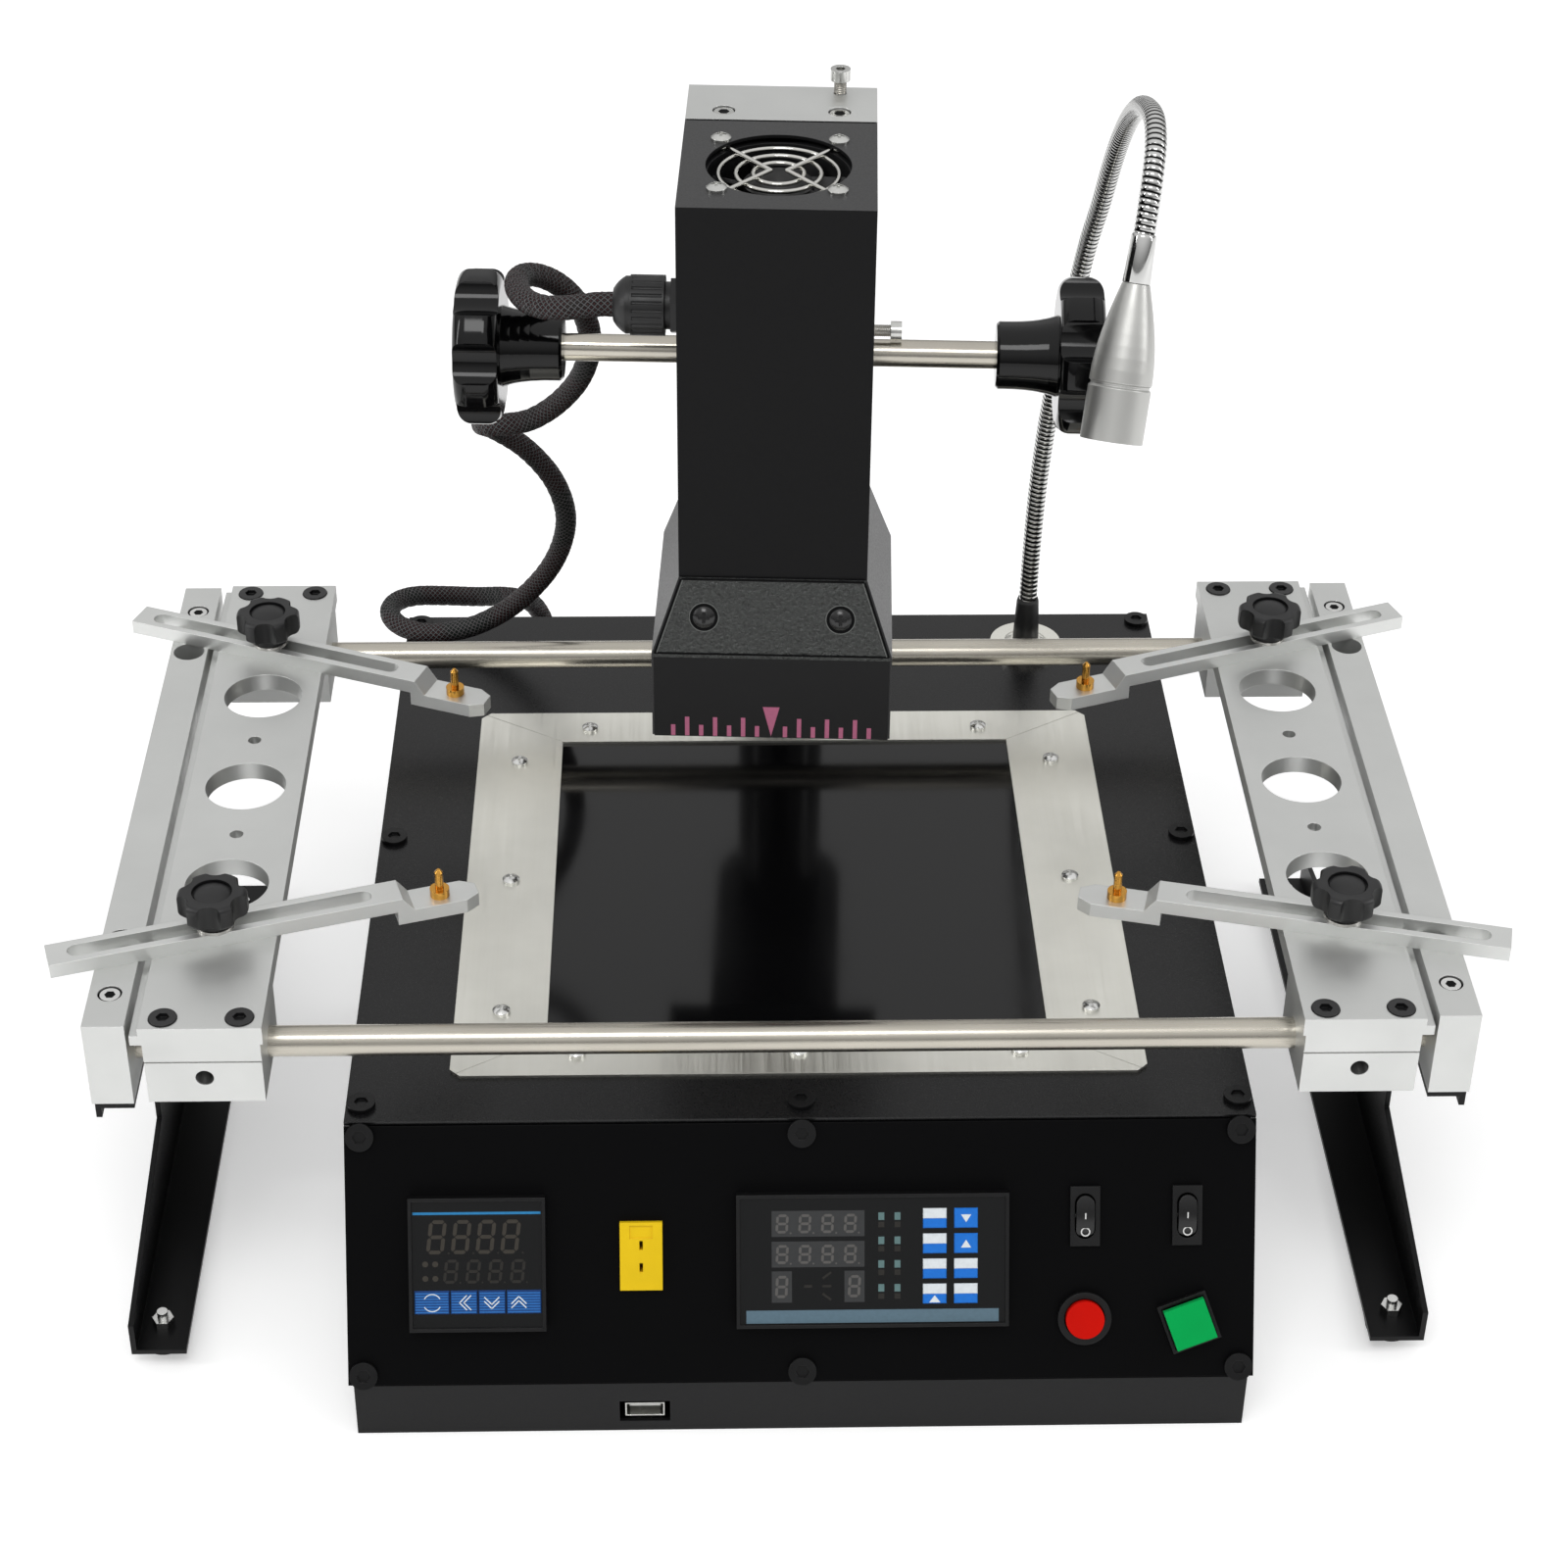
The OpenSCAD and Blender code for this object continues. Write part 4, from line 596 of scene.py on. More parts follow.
class STATION_OT_stage(bpy.types.Operator):
    """Makes the camera, the floor, the lamps and the room light"""

    bl_idname = "station.stage"
    bl_label = "Stage"

    def execute(self, context):
        scene, light = context.scene, context.scene.station_light
        scene.view_settings.view_transform = "Standard"
        camera = bpy.data.objects.new("camera", bpy.data.cameras.new("camera"))
        scene.collection.objects.link(camera)
        camera.data.sensor_width = SENSOR_WIDTH
        camera.data.lens = light.lens
        camera.data.clip_start, camera.data.clip_end = 0.05, 30.0
        yaw, pitch, roll = CAMERA_YAW, CAMERA_PITCH, CAMERA_ROLL
        ahead = Vector((math.sin(yaw) * math.cos(pitch), math.cos(yaw) * math.cos(pitch), -math.sin(pitch)))
        right = Vector((math.cos(yaw), -math.sin(yaw), 0))
        up = right.cross(ahead)
        side = right * math.cos(roll) + up * math.sin(roll)
        top = up * math.cos(roll) - right * math.sin(roll)
        turn = Matrix((side, top, -ahead)).transposed().to_4x4()
        camera.matrix_world = Matrix.Translation(mm(*CAMERA_SPOT)) @ turn
        scene.camera = camera
        self.floor(scene)
        self.lamp(scene, "key_lamp", (-0.2, -1.0, 1.75), (0, 0, 0.1), (0.8, 0.5), light.key_power)
        for name, across in (("left_lamp", -1.5), ("right_lamp", 1.5)):
            self.lamp(scene, name, (across, -0.3, 0.9), (0, 0, 0.15), (0.2, 0.9), light.side_power)
        self.room(scene, light.sky)
        return {"FINISHED"}

    @staticmethod
    def room(scene, strength):
        """Room light that grows from the horizon upwards."""
        world = bpy.data.worlds.new("room")
        scene.world = world
        world.use_nodes = True
        tree = world.node_tree
        back = tree.nodes["Background"]
        spot = tree.nodes.new("ShaderNodeTexCoord")
        split = tree.nodes.new("ShaderNodeSeparateXYZ")
        tree.links.new(spot.outputs["Generated"], split.inputs["Vector"])
        ramp = tree.nodes.new("ShaderNodeValToRGB")
        tree.links.new(split.outputs["Z"], ramp.inputs["Fac"])
        ramp.color_ramp.elements[0].color = ROOM_BELOW
        ramp.color_ramp.elements[1].color = ROOM_ABOVE
        middle = ramp.color_ramp.elements.new(0.5)
        middle.color = ROOM_LEVEL
        tree.links.new(ramp.outputs["Color"], back.inputs["Color"])
        back.inputs["Strength"].default_value = strength

    @staticmethod
    def floor(scene):
        """White floor that glows where the camera or a reflection sees it."""
        mesh = bpy.data.meshes.new("floor")
        s = FLOOR_REACH
        mesh.from_pydata([(-s, -s, 0), (s, -s, 0), (s, s, 0), (-s, s, 0)], [], [(0, 1, 2, 3)])
        floor = bpy.data.objects.new("floor", mesh)
        scene.collection.objects.link(floor)
        made = Finish("floor_white", FLOOR_WHITE, 0.9, specular=0.0)
        ray = made.node("ShaderNodeLightPath").outputs
        sharp = made.calc("MAXIMUM", ray["Is Glossy Ray"], ray["Is Transmission Ray"])
        seen = made.calc("MAXIMUM", ray["Is Camera Ray"], sharp)
        made.set(Emission_Color=(1, 1, 1, 1))
        made.link(made.calc("MULTIPLY", seen, FLOOR_GLOW), "Emission Strength")
        mesh.materials.append(made.material)

    @staticmethod
    def lamp(scene, name, spot, aim, size, power):
        """Area lamp at a spot, turned to its aim."""
        data = bpy.data.lights.new(name, "AREA")
        data.shape, data.size, data.size_y, data.energy = "RECTANGLE", size[0], size[1], power
        lamp = bpy.data.objects.new(name, data)
        scene.collection.objects.link(lamp)
        lamp.location = spot
        lamp.rotation_euler = (Vector(aim) - Vector(spot)).to_track_quat("-Z", "Y").to_euler()


# Cable

CABLE_EXIT = on_head() @ mm(-55.5, -17, 348)
CABLE_OUT = on_head().to_3x3() @ Vector((-1, 0, 0))
CABLE_POINTS = [CABLE_EXIT, CABLE_EXIT + CABLE_OUT * 6 * MM] + [mm(*p) for p in (
    (-75, -13.4, 347), (-81.8, -11.6, 345.4), (-88.6, -7.2, 343.6), (-94.3, -0.2, 342.3), (-98, 9, 341.6),
    (-99, 18, 341), (-96.8, 27, 339), (-92, 34.5, 335.2), (-86, 40.6, 329.2), (-80.4, 46, 320.8),
    (-76.6, 52, 310.4), (-75, 58, 298.5), (-76.2, 64, 286.3), (-80, 69.5, 274.5), (-86, 74.5, 264.3),
    (-93, 78, 256.4), (-101, 80, 251), (-110, 81.6, 248.6), (-117, 87, 245.3), (-119.5, 96, 240.6),
    (-115, 106.5, 232.5), (-104, 114.5, 219.5), (-94, 121, 202), (-89.5, 126, 183), (-92, 132, 164),
    (-100, 137, 146), (-114, 142.5, 128), (-130.5, 145, 116.5), (-147, 145, 112.6), (-157.5, 147.3, 112.5),
    (-165.3, 153.6, 112.8), (-168.4, 162.5, 113), (-165.6, 171.3, 112.6), (-158, 178, 111),
    (-146.5, 183.6, 107.6), (-133, 192.5, 101.5), (-120.5, 207, 92.5), (-111, 218.3, 82.5), (-105.8, 222, 71),
    (-104.2, 219.6, 61.3), (-104, 213, 54.5), (-104, 203.5, 52), (-104, 188, 52))]
STRANDS = 12
STRAND_TURNS = 46.0
STRAND_WAVE = 2890
STRAND_RELIEF = 0.0003
CABLE_STEP, PATH_STEP = 0.0009, 0.004


def braided_sleeve():
    """Woven black sleeve; a few coloured wires show between the strands, and each strand has a painted
    highlight along its crest and painted shade at its sides.
    """
    made = Finish("braided_sleeve", tone(30, 29, 30), 0.4, specular=0.22)
    spread = made.node("ShaderNodeSeparateXYZ", {"Vector": made.along}).outputs

    def strands(turn):
        run = made.calc("MULTIPLY", spread["Y"], turn * STRAND_TURNS)
        lap = made.calc("MULTIPLY_ADD", spread["X"], float(STRANDS), run)
        return made.calc("PINGPONG", made.calc("FRACT", lap), 0.5)

    weave = made.calc("MAXIMUM", strands(1.0), strands(-1.0))
    gap = made.stretched(weave, 0.10, 0.16)
    wire = made.ramp(made.noise(38.0, 1.0), (0.42, tone(10, 40, 30)), (0.5, tone(74, 14, 20)))
    # Painted highlight along each strand's crest, fading to painted shade at the strand's sides
    crest = made.ramp(weave, (0.38, tone(5, 5, 5)), (0.47, tone(104, 102, 103)))
    mix = made.node("ShaderNodeMix", {"Factor": gap}, data_type="RGBA")
    made.tree.links.new(wire, mix.inputs["A"])
    made.tree.links.new(crest, mix.inputs["B"])
    made.link(mix.outputs["Result"], "Base Color")
    made.bump(weave, 0.6, 0.8)
    made.uneven(made.noise(500.0), 0.3, 0.5)
    return made.material


class STATION_OT_cable(bpy.types.Operator):
    """Lays the braided cable from the head's gland to the gland at the back"""

    bl_idname = "station.cable"
    bl_label = "Braided cable"

    def execute(self, context):
        diameter = context.scene.station_sizes.cable_diameter
        route = even_route(smooth_route(CABLE_POINTS, 8), CABLE_STEP)

        def radius_at(run, angle):
            left = math.cos(STRANDS * angle + run * STRAND_WAVE)
            right = math.cos(STRANDS * angle - run * STRAND_WAVE)
            return diameter / 2 + STRAND_RELIEF * (max(left, right) - 0.8)

        mesh = tube_mesh("braided_cable", route, 48, radius_at, CABLE_OUT, (0, -1, 0))
        cable = place_piece("braided_cable", mesh, None, "cable_braid", braided_sleeve())
        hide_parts("cable_upper", "cable_lower")
        path = even_route(route, PATH_STEP)
        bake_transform(cable)
        return {"FINISHED"}


# Lamp

NECK_POINTS = [mm(*LAMP_FOOT) + mm(*p) for p in (
    (0, 0, 24.5), (0.3, 0, 50), (1, -0.5, 75), (2.2, -2, 98), (3.9, -5.5, 122), (7.1, -12, 154),
    (11.2, -24, 197), (14.4, -33, 221), (16.2, -43, 241.5), (17.2, -55, 258), (17.8, -73, 274.5),
    (18.3, -96, 288.5), (19, -119, 294.5), (18.4, -133, 291.5), (16.9, -142.5, 284.5), (15.4, -148.5, 275.5),
    (13.8, -153, 265))]
NECK_END = Vector((-2.7, -7.8, -17)).normalized()
NECK_RADIUS = 3.9
RIB_DEPTH = 0.55


def ribbed_chrome(pitch):
    """Chrome coil, with painted shade in the grooves between its turns."""
    made = Finish("coil_chrome", (0.66, 0.66, 0.65), 0.1, metal=1.0)
    spread = made.node("ShaderNodeSeparateXYZ", {"Vector": made.along}).outputs
    turn = made.calc("MULTIPLY_ADD", spread["Y"], 1 / (ALONG_SCALE * pitch), spread["X"])
    wave = made.calc("PINGPONG", made.calc("FRACT", turn), 0.5)
    # Painted shade: the grooves between the turns are painted near-black
    made.link(made.ramp(wave, (0.11, tone(9, 9, 9)), (0.28, made.colour)), "Base Color")
    made.uneven(made.noise(300.0), 0.06, 0.16)
    return made.material


class STATION_OT_lamp(bpy.types.Operator):
    """Makes the ribbed gooseneck with its ferrule and sleeve, and the lamp's lens"""

    bl_idname = "station.lamp"
    bl_label = "Gooseneck lamp"

    def execute(self, context):
        colours = context.scene.station_colours
        pitch = context.scene.station_sizes.rib_pitch
        route = even_route(smooth_route(NECK_POINTS, 12), pitch / 6)
        chrome = Finish("neck_chrome", (0.62, 0.62, 0.61), 0.1, metal=1.0)
        chrome.uneven(chrome.noise(300.0), 0.06, 0.16)
        chrome.blotch(chrome.noise(90.0), 0.05)
        coil = ribbed_chrome(pitch)

        def radius_at(run, angle):
            turn = (run / pitch + angle / (2 * math.pi)) % 1.0
            crest = math.sqrt(max(0.0, 1 - (2 * turn - 1) ** 2))
            return (NECK_RADIUS - RIB_DEPTH + RIB_DEPTH * crest) * MM

        mesh = tube_mesh("gooseneck_coil", route, 20, radius_at, (0, 0, 1), NECK_END)
        neck = place_piece("gooseneck_coil", mesh, "lamp", "neck_chrome", coil)
        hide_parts("gooseneck")
        turn = NECK_END.to_track_quat("Z", "Y").to_matrix().to_4x4()
        end = Matrix.Translation(NECK_POINTS[-1]) @ turn
        ferrule = turned_mesh("lamp_ferrule", [(0.0038, -0.0012), (0.0043, -0.0008), (0.0044, 0.0),
                                               (0.00445, 0.0004), (0.0049, 0.0156), (0.0046, 0.0160)], 40)
        ferrule.transform(end)
        place_piece("lamp_ferrule", ferrule, "lamp", "neck_chrome", chrome.material)
        sleeve = turned_mesh("neck_sleeve", [(0.0053, 0.0050), (0.0055, 0.0056), (0.0051, 0.0150),
                                             (0.0047, 0.0230), (0.0043, 0.0246), (0.0039, 0.0246)], 40)
        sleeve.transform(Matrix.Translation(mm(*LAMP_FOOT)))
        rubber = moulded_plastic("sleeve_rubber", tone(24, 24, 25), 0.42, 0.03)
        place_piece("neck_sleeve", sleeve, "lamp", "black_plastic", rubber)
        dress(drawn_steel("lamp_foot_steel", colours.strip_steel, 0.2, (1, 1, 1)), "lamp_base")
        dress(blasted_aluminium("lamp_shell", tone(192, 192, 189)), "lamp_head")
        glass = Finish("lamp_lens", (0.9, 0.92, 0.94), 0.08)
        glass.set(Transmission_Weight=0.6)
        glass.bump(glass.noise(900.0, 1.0), 0.05, 0.4)
        lens = turned_mesh("lamp_lens", [(0.0002, 0.0682), (0.003, 0.0680), (0.006, 0.0676), (0.0089, 0.0669),
                                         (0.0089, 0.0668)], 40)
        lens.transform(end)
        place_piece("lamp_lens", lens, "lamp", "black_glass", glass.material)
        return {"FINISHED"}


# Cabinet and panel


class STATION_OT_cabinet(bpy.types.Operator):
    """Paints the cabinet, the column and the legs, and finishes their screws"""

    bl_idname = "station.cabinet"
    bl_label = "Cabinet"

    def execute(self, context):
        colours = context.scene.station_colours
        dress(painted_sheet("top_paint", colours.top_paint, 0.3, 0.33, 0.03), "top_plate")
        dress(painted_sheet("tray_paint", tone(20, 20, 21), 0.45, 0.2, 0.03), "base_tray")
        dress(painted_sheet("leg_paint", tone(10, 10, 11), 0.4, 0.2, 0.03), "legs")
        dress(painted_sheet("panel_paint", colours.panel_paint, 0.45, 0.06, 0.015), "front_panel")
        dress(painted_sheet("column_paint", tone(18, 18, 19), 0.25, 0.5, 0.02), "column", "head_arm")
        dress(moulded_plastic("black_oxide", tone(10, 10, 11), 0.34, 0.02, 0.3), "black_screws")
        dress(moulded_plastic("connector_plastic", tone(22, 22, 23), 0.45, 0.03), "rear_connectors")
        dress(moulded_plastic("foot_rubber", tone(18, 18, 18), 0.75, 0.08, 0.2), "feet")
        return {"FINISHED"}


class STATION_OT_heater(bpy.types.Operator):
    """Finishes the black glass, the steel frame around it and the heating elements"""

    bl_idname = "station.heater"
    bl_label = "Lower heater"

    def execute(self, context):
        colours = context.scene.station_colours
        glass = Finish("black_glass", tone(7, 7, 8), 0.1, specular=0.34)
        glass.uneven(glass.noise(18.0, 3.0), 0.08, 0.12)
        glass.blotch(glass.noise(9.0, 2.0), 0.06)
        dress(glass.material, "heater_glass")
        dress(drawn_steel("strip_steel", colours.strip_steel, 0.38, (1.0, 0.02, 1.0), 0.006), "heater_frame")
        dress(turned_metal("screw_steel", tone(222, 222, 220), 0.2), "steel_screws")
        ceramic = Finish("heater_ceramic", tone(226, 222, 212), 0.7, specular=0.3)
        ceramic.bump(ceramic.noise(700.0, 4.0), 0.2, 0.6)
        ceramic.blotch(ceramic.noise(35.0, 4.0), 0.1)
        dress(ceramic.material, "lower_heater", "upper_heater")
        return {"FINISHED"}


# Heights on a controller's front, in millimetres above the panel

WINDOW, PRINT, INDICATOR, FIGURE = 4.05, 4.12, 4.14, 4.18
KEY_FOOT, KEY_TOP, KEY_STRIPE = 4.06, 4.5, 4.53
KEY_ARROW, KEY_ICON = 4.56, 4.58


def face_finishes(context):
    """Finishes of the two controllers' fronts."""
    return {
        "window": printed("controller_window", tone(13, 14, 15), 0.22, 0.35),
        "segment": printed("unlit_segment", tone(58, 54, 48), 0.4),
        "faint": printed("faint_segment", tone(40, 38, 35), 0.4),
        "line": printed("blue_line", tone(44, 130, 186), 0.35),
        "stripe": printed("key_stripe", tone(44, 112, 186), 0.4),
        "ground": printed("key_ground", tone(22, 60, 118), 0.4),
        "white": printed("white_print", tone(226, 232, 236), 0.45),
        "blue": printed("key_blue", context.scene.station_colours.key_blue, 0.35),
        "glass": printed("grey_window", tone(58, 59, 60), 0.2, 0.35),
        "figure": printed("grey_figure", tone(92, 90, 88), 0.4),
        "lamp": printed("unlit_lamp", tone(96, 124, 124), 0.35),
        "strip": printed("grey_strip", tone(92, 116, 130), 0.35),
    }


def chosen(finishes, *names):
    """Some of the finishes, in the order given."""
    return {name: finishes[name] for name in names}


class STATION_OT_controllers(bpy.types.Operator):
    """Makes the fronts of the two temperature controllers"""

    bl_idname = "station.controllers"
    bl_label = "Temperature controllers"

    def execute(self, context):
        bezel = moulded_plastic("controller_bezel", tone(13, 13, 14), 0.34, 0.02, 0.35)
        dress(bezel, "controllers")
        finishes = face_finishes(context)
        self.lower(finishes)
        self.upper(finishes)
        return {"FINISHED"}

    @staticmethod
    def lower(finishes):
        art = FaceArt(on_panel(-114.2, 50.4))
        art.box(-22.7, -22.7, 22.7, 22.7, WINDOW, "window")
        art.box(-22.4, 18.0, 22.4, 18.9, PRINT, "line")
        for i in range(4):
            art.digit(-14.1 + 8.65 * i, 10.0, 6.2, 12.2, 1.35, PRINT, "segment")
            art.digit(-9.2 + 7.8 * i, -2.4, 4.9, 8.6, 1.05, PRINT, "faint")
            art.disc(-9.9 + 8.65 * i, 4.2, 0.35, PRINT, "faint")
            art.disc(-6.0 + 7.8 * i, -6.4, 0.3, PRINT, "faint")
        for x in (-18.2, -14.7):
            for y in (0.3, -4.9):
                art.disc(x, y, 1.05, PRINT, "segment")
        edges = (-22.4, -9.7, 0.15, 10.0, 22.6)
        for left, right in zip(edges, edges[1:]):
            art.key(left + 0.2, -17.7, right - 0.2, -9.2, KEY_FOOT, KEY_TOP, "ground")
            for k in range(8):
                art.box(left + 0.55, -17.2 + k * 0.97, right - 0.55, -16.7 + k * 0.97, KEY_STRIPE, "stripe")
        for arc in ((28, 152), (208, 332)):
            art.ring(-15.9, -13.5, 2.9, 3.25, KEY_ICON, "white", arc)
        for shift in (0.0, 1.5):
            chevrons = ([(-3.9 + shift, -11.0), (-6.3 + shift, -13.5), (-3.9 + shift, -16.0)],
                        [(2.5, -11.7 - shift), (5.0, -14.2 - shift), (7.5, -11.7 - shift)],
                        [(12.0, -15.4 + shift), (14.5, -12.9 + shift), (17.0, -15.4 + shift)])
            for points in chevrons:
                art.stroke(points, 0.4, KEY_ICON, "white")
        art.piece("lower_controller_face", "base", "black_plastic",
                  chosen(finishes, "window", "line", "segment", "faint", "ground", "stripe", "white"))

    @staticmethod
    def upper(finishes):
        art = FaceArt(on_panel(24.8, 50.3))
        art.box(-46.7, -22.7, 46.7, 22.7, WINDOW, "window")
        for low, high in ((8.8, 18.1), (-2.2, 7.1)):
            art.box(-35.6, low, -2.9, high, PRINT, "glass")
            for i in range(4):
                art.digit(-31.9 + 8.0 * i, (low + high) / 2, 4.4, 6.8, 0.95, FIGURE, "figure", 0.06)
                art.disc(-28.9 + 8.0 * i, low + 1.3, 0.32, FIGURE, "figure")
        for left in (-35.6, -10.0):
            art.box(left, -14.9, left + 7.1, -3.6, PRINT, "glass")
            art.digit(left + 3.5, -9.2, 4.4, 8.0, 1.0, FIGURE, "figure", 0.06)
        art.box(-24.2, -9.6, -21.4, -8.6, PRINT, "faint")
        for y, lean in ((-5.2, 0.9), (-9.1, 0.0), (-12.9, -0.9)):
            art.stroke([(-17.4, y - lean), (-15.0, y + lean)], 0.8, PRINT, "faint")
        for x in (3.0, 8.7):
            for y in (15.9, 7.2, -1.3, -9.9):
                art.box(x - 1.05, y - 1.35, x + 1.05, y + 1.35, INDICATOR, "lamp")
                art.box(x - 1.05, y - 4.0, x + 1.05, y - 2.0, PRINT, "faint")
        rows = (18.6, 9.5, 0.45, -8.6)
        for column, left in enumerate((17.7, 28.7)):
            for row, high in enumerate(rows):
                low, right, middle = high - 7.15, left + 8.3, left + 4.15
                if column == 1 and row < 2:
                    tip = -1.4 if row == 0 else 1.4
                    art.key(left, low, right, high, KEY_FOOT, KEY_TOP, "blue")
                    art.shape([(middle - 1.8, low + 3.5 - tip), (middle + 1.8, low + 3.5 - tip),
                               (middle, low + 3.5 + tip)], KEY_ARROW, "white")
                    continue
                art.key(left, low + 3.4, right, high, KEY_FOOT, KEY_TOP, "white")
                art.key(left, low, right, low + 3.5, KEY_FOOT, KEY_TOP, "blue")
                if column == 0 and row == 3:
                    art.shape([(middle - 2.0, low + 0.5), (middle + 2.0, low + 0.5), (middle, low + 3.1)],
                              KEY_ARROW, "white")
        art.box(-44.6, -22.4, 44.5, -17.7, PRINT, "strip")
        art.piece("upper_controller_face", "base", "black_plastic",
                  chosen(finishes, "window", "glass", "figure", "faint", "lamp", "white", "blue", "strip"))


ROCKER_CROWN = 22.0
ROCKER_LEAN = math.radians(7.0)


def rocker_rise(y):
    """Height of a rocker's crowned top at a distance from its middle."""
    return 3.0 - ROCKER_CROWN + math.sqrt(ROCKER_CROWN ** 2 - y * y) + PRINT_THICKNESS


class STATION_OT_switches(bpy.types.Operator):
    """Finishes the rockers, the push buttons and the two sockets, with the marks on the rockers"""

    bl_idname = "station.switches"
    bl_label = "Switches, buttons and sockets"

    def execute(self, context):
        dress(moulded_plastic("switch_plastic", tone(13, 13, 14), 0.36, 0.03, 0.35), "switch_bezels")
        dress(moulded_plastic("rocker_plastic", tone(10, 10, 11), 0.28, 0.02, 0.45), "light_switch_rocker",
              "fan_switch_rocker")
        dress(moulded_plastic("stop_red", tone(206, 16, 4), 0.32, 0.02, 0.1), "stop_button_cap")
        dress(moulded_plastic("start_green", tone(2, 170, 82), 0.35, 0.02, 0.1), "start_button_cap")
        dress(moulded_plastic("socket_yellow", tone(236, 198, 20), 0.42, 0.03, 0.2), "sensor_socket")
        self.usb()
        mark = printed("switch_mark", tone(228, 228, 226), 0.4)
        lean = Matrix.Rotation(ROCKER_LEAN, 4, "X")
        for name, across in (("light", 100.0), ("fan", 136.2)):
            art = FaceArt(on_panel(across, 35.8) @ lean)
            art.box(-0.22, -0.3, 0.22, 1.9, rocker_rise(0.8) + 0.03, "mark")
            art.ring(0.1, -5.3, 1.25, 1.7, rocker_rise(5.3) + 0.25, "mark")
            art.piece(name + "_rocker_marks", name + "_rocker", "black_plastic", {"mark": mark})
        return {"FINISHED"}

    @staticmethod
    def usb():
        """Steel shell with a white tongue."""
        low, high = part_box("usb_port")
        middle = (low[0] + high[0]) / 2
        mesh = node_mesh("usb_port")
        port = place_piece("usb_socket", mesh, "base", "polished_steel",
                           turned_metal("usb_steel", tone(200, 200, 196), 0.22),
                           moulded_plastic("usb_tongue", tone(232, 232, 228), 0.4, 0.02, 0.3))
        reach, under, over = 5.6 * MM, high[2] - 3.1 * MM, high[2] - 1.2 * MM

        def on_tongue(polygon):
            spots = [mesh.vertices[v].co for v in polygon.vertices]
            return all(abs(v.x - middle) < reach and under < v.z < over for v in spots)

        second_finish(mesh, on_tongue)
        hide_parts("usb_port")


# Head


def folded_apron(thick):
    """Front apron of the hood: slope, rounded fold and skirt in one sheet."""
    gap, bend, steps = 0.08, 3.0, 6
    narrow, flare, margin = 33.0, 9.5, 0.7
    slope = math.atan2(COVER_FRONT - HOOD_FRONT, HOOD_TOP - HOOD_KNEE)
    half = math.tan(slope / 2) * bend
    line = [(COVER_FRONT, HOOD_TOP)]
    for k in range(steps + 1):
        a = slope * (1 - k / steps)
        line.append((HOOD_FRONT + bend - bend * math.cos(a), HOOD_KNEE - half + bend * math.sin(a)))
    line.append((HOOD_FRONT, HOOD_BOTTOM))
    rows = []
    for i, (y, z) in enumerate(line):
        y0, z0 = line[max(i - 1, 0)]
        y1, z1 = line[min(i + 1, len(line) - 1)]
        along = Vector((y1 - y0, z1 - z0)).normalized()
        out = Vector((along.y, -along.x))
        share = min(1.0, max(0.0, (HOOD_TOP - z) / (HOOD_TOP - HOOD_KNEE)))
        rows.append((y, z, out, narrow + flare * share - margin))
    verts, faces = [], []
    for y, z, out, width in rows:
        for lift in (gap, gap + thick):
            for x in (-width, width):
                verts.append(mm(x, y + out.x * lift, z + out.y * lift))
    for i in range(len(rows) - 1):
        a, b = 4 * i, 4 * (i + 1)
        faces += [(a + 2, b + 2, b + 3, a + 3), (a, a + 1, b + 1, b)]
        faces += [(a, b, b + 2, a + 2), (a + 1, a + 3, b + 3, b + 1)]
    end = 4 * (len(rows) - 1)
    faces += [(0, 2, 3, 1), (end, end + 1, end + 3, end + 2)]
    mesh = bpy.data.meshes.new("hood_apron")
    mesh.from_pydata([tuple(on_head() @ v) for v in verts], [], faces)
    return mesh


def thread_mesh(name, length, radius, pitch, ridge=0.32):
    """Open screw thread about Z; a ridge below zero stands into a hole."""
    sides, turns = 20, length / pitch
    count = int(turns * sides)
    verts, faces = [], []
    for i in range(count + 1):
        a = 2 * math.pi * i / sides
        z = length * i / count
        for r, dz in ((radius, -0.45), (radius + pitch * ridge, 0.0), (radius, 0.45)):
            verts.append((r * math.cos(a), r * math.sin(a), z + dz * pitch))
    for i in range(count):
        for k in range(3):
            k2 = (k + 1) % 3
            faces.append((3 * i + k, 3 * i + k + 3, 3 * i + k2 + 3, 3 * i + k2))
    faces += [(0, 1, 2), (3 * count + 2, 3 * count + 1, 3 * count)]
    mesh = bpy.data.meshes.new(name)
    mesh.from_pydata(verts, [], faces)
    return mesh


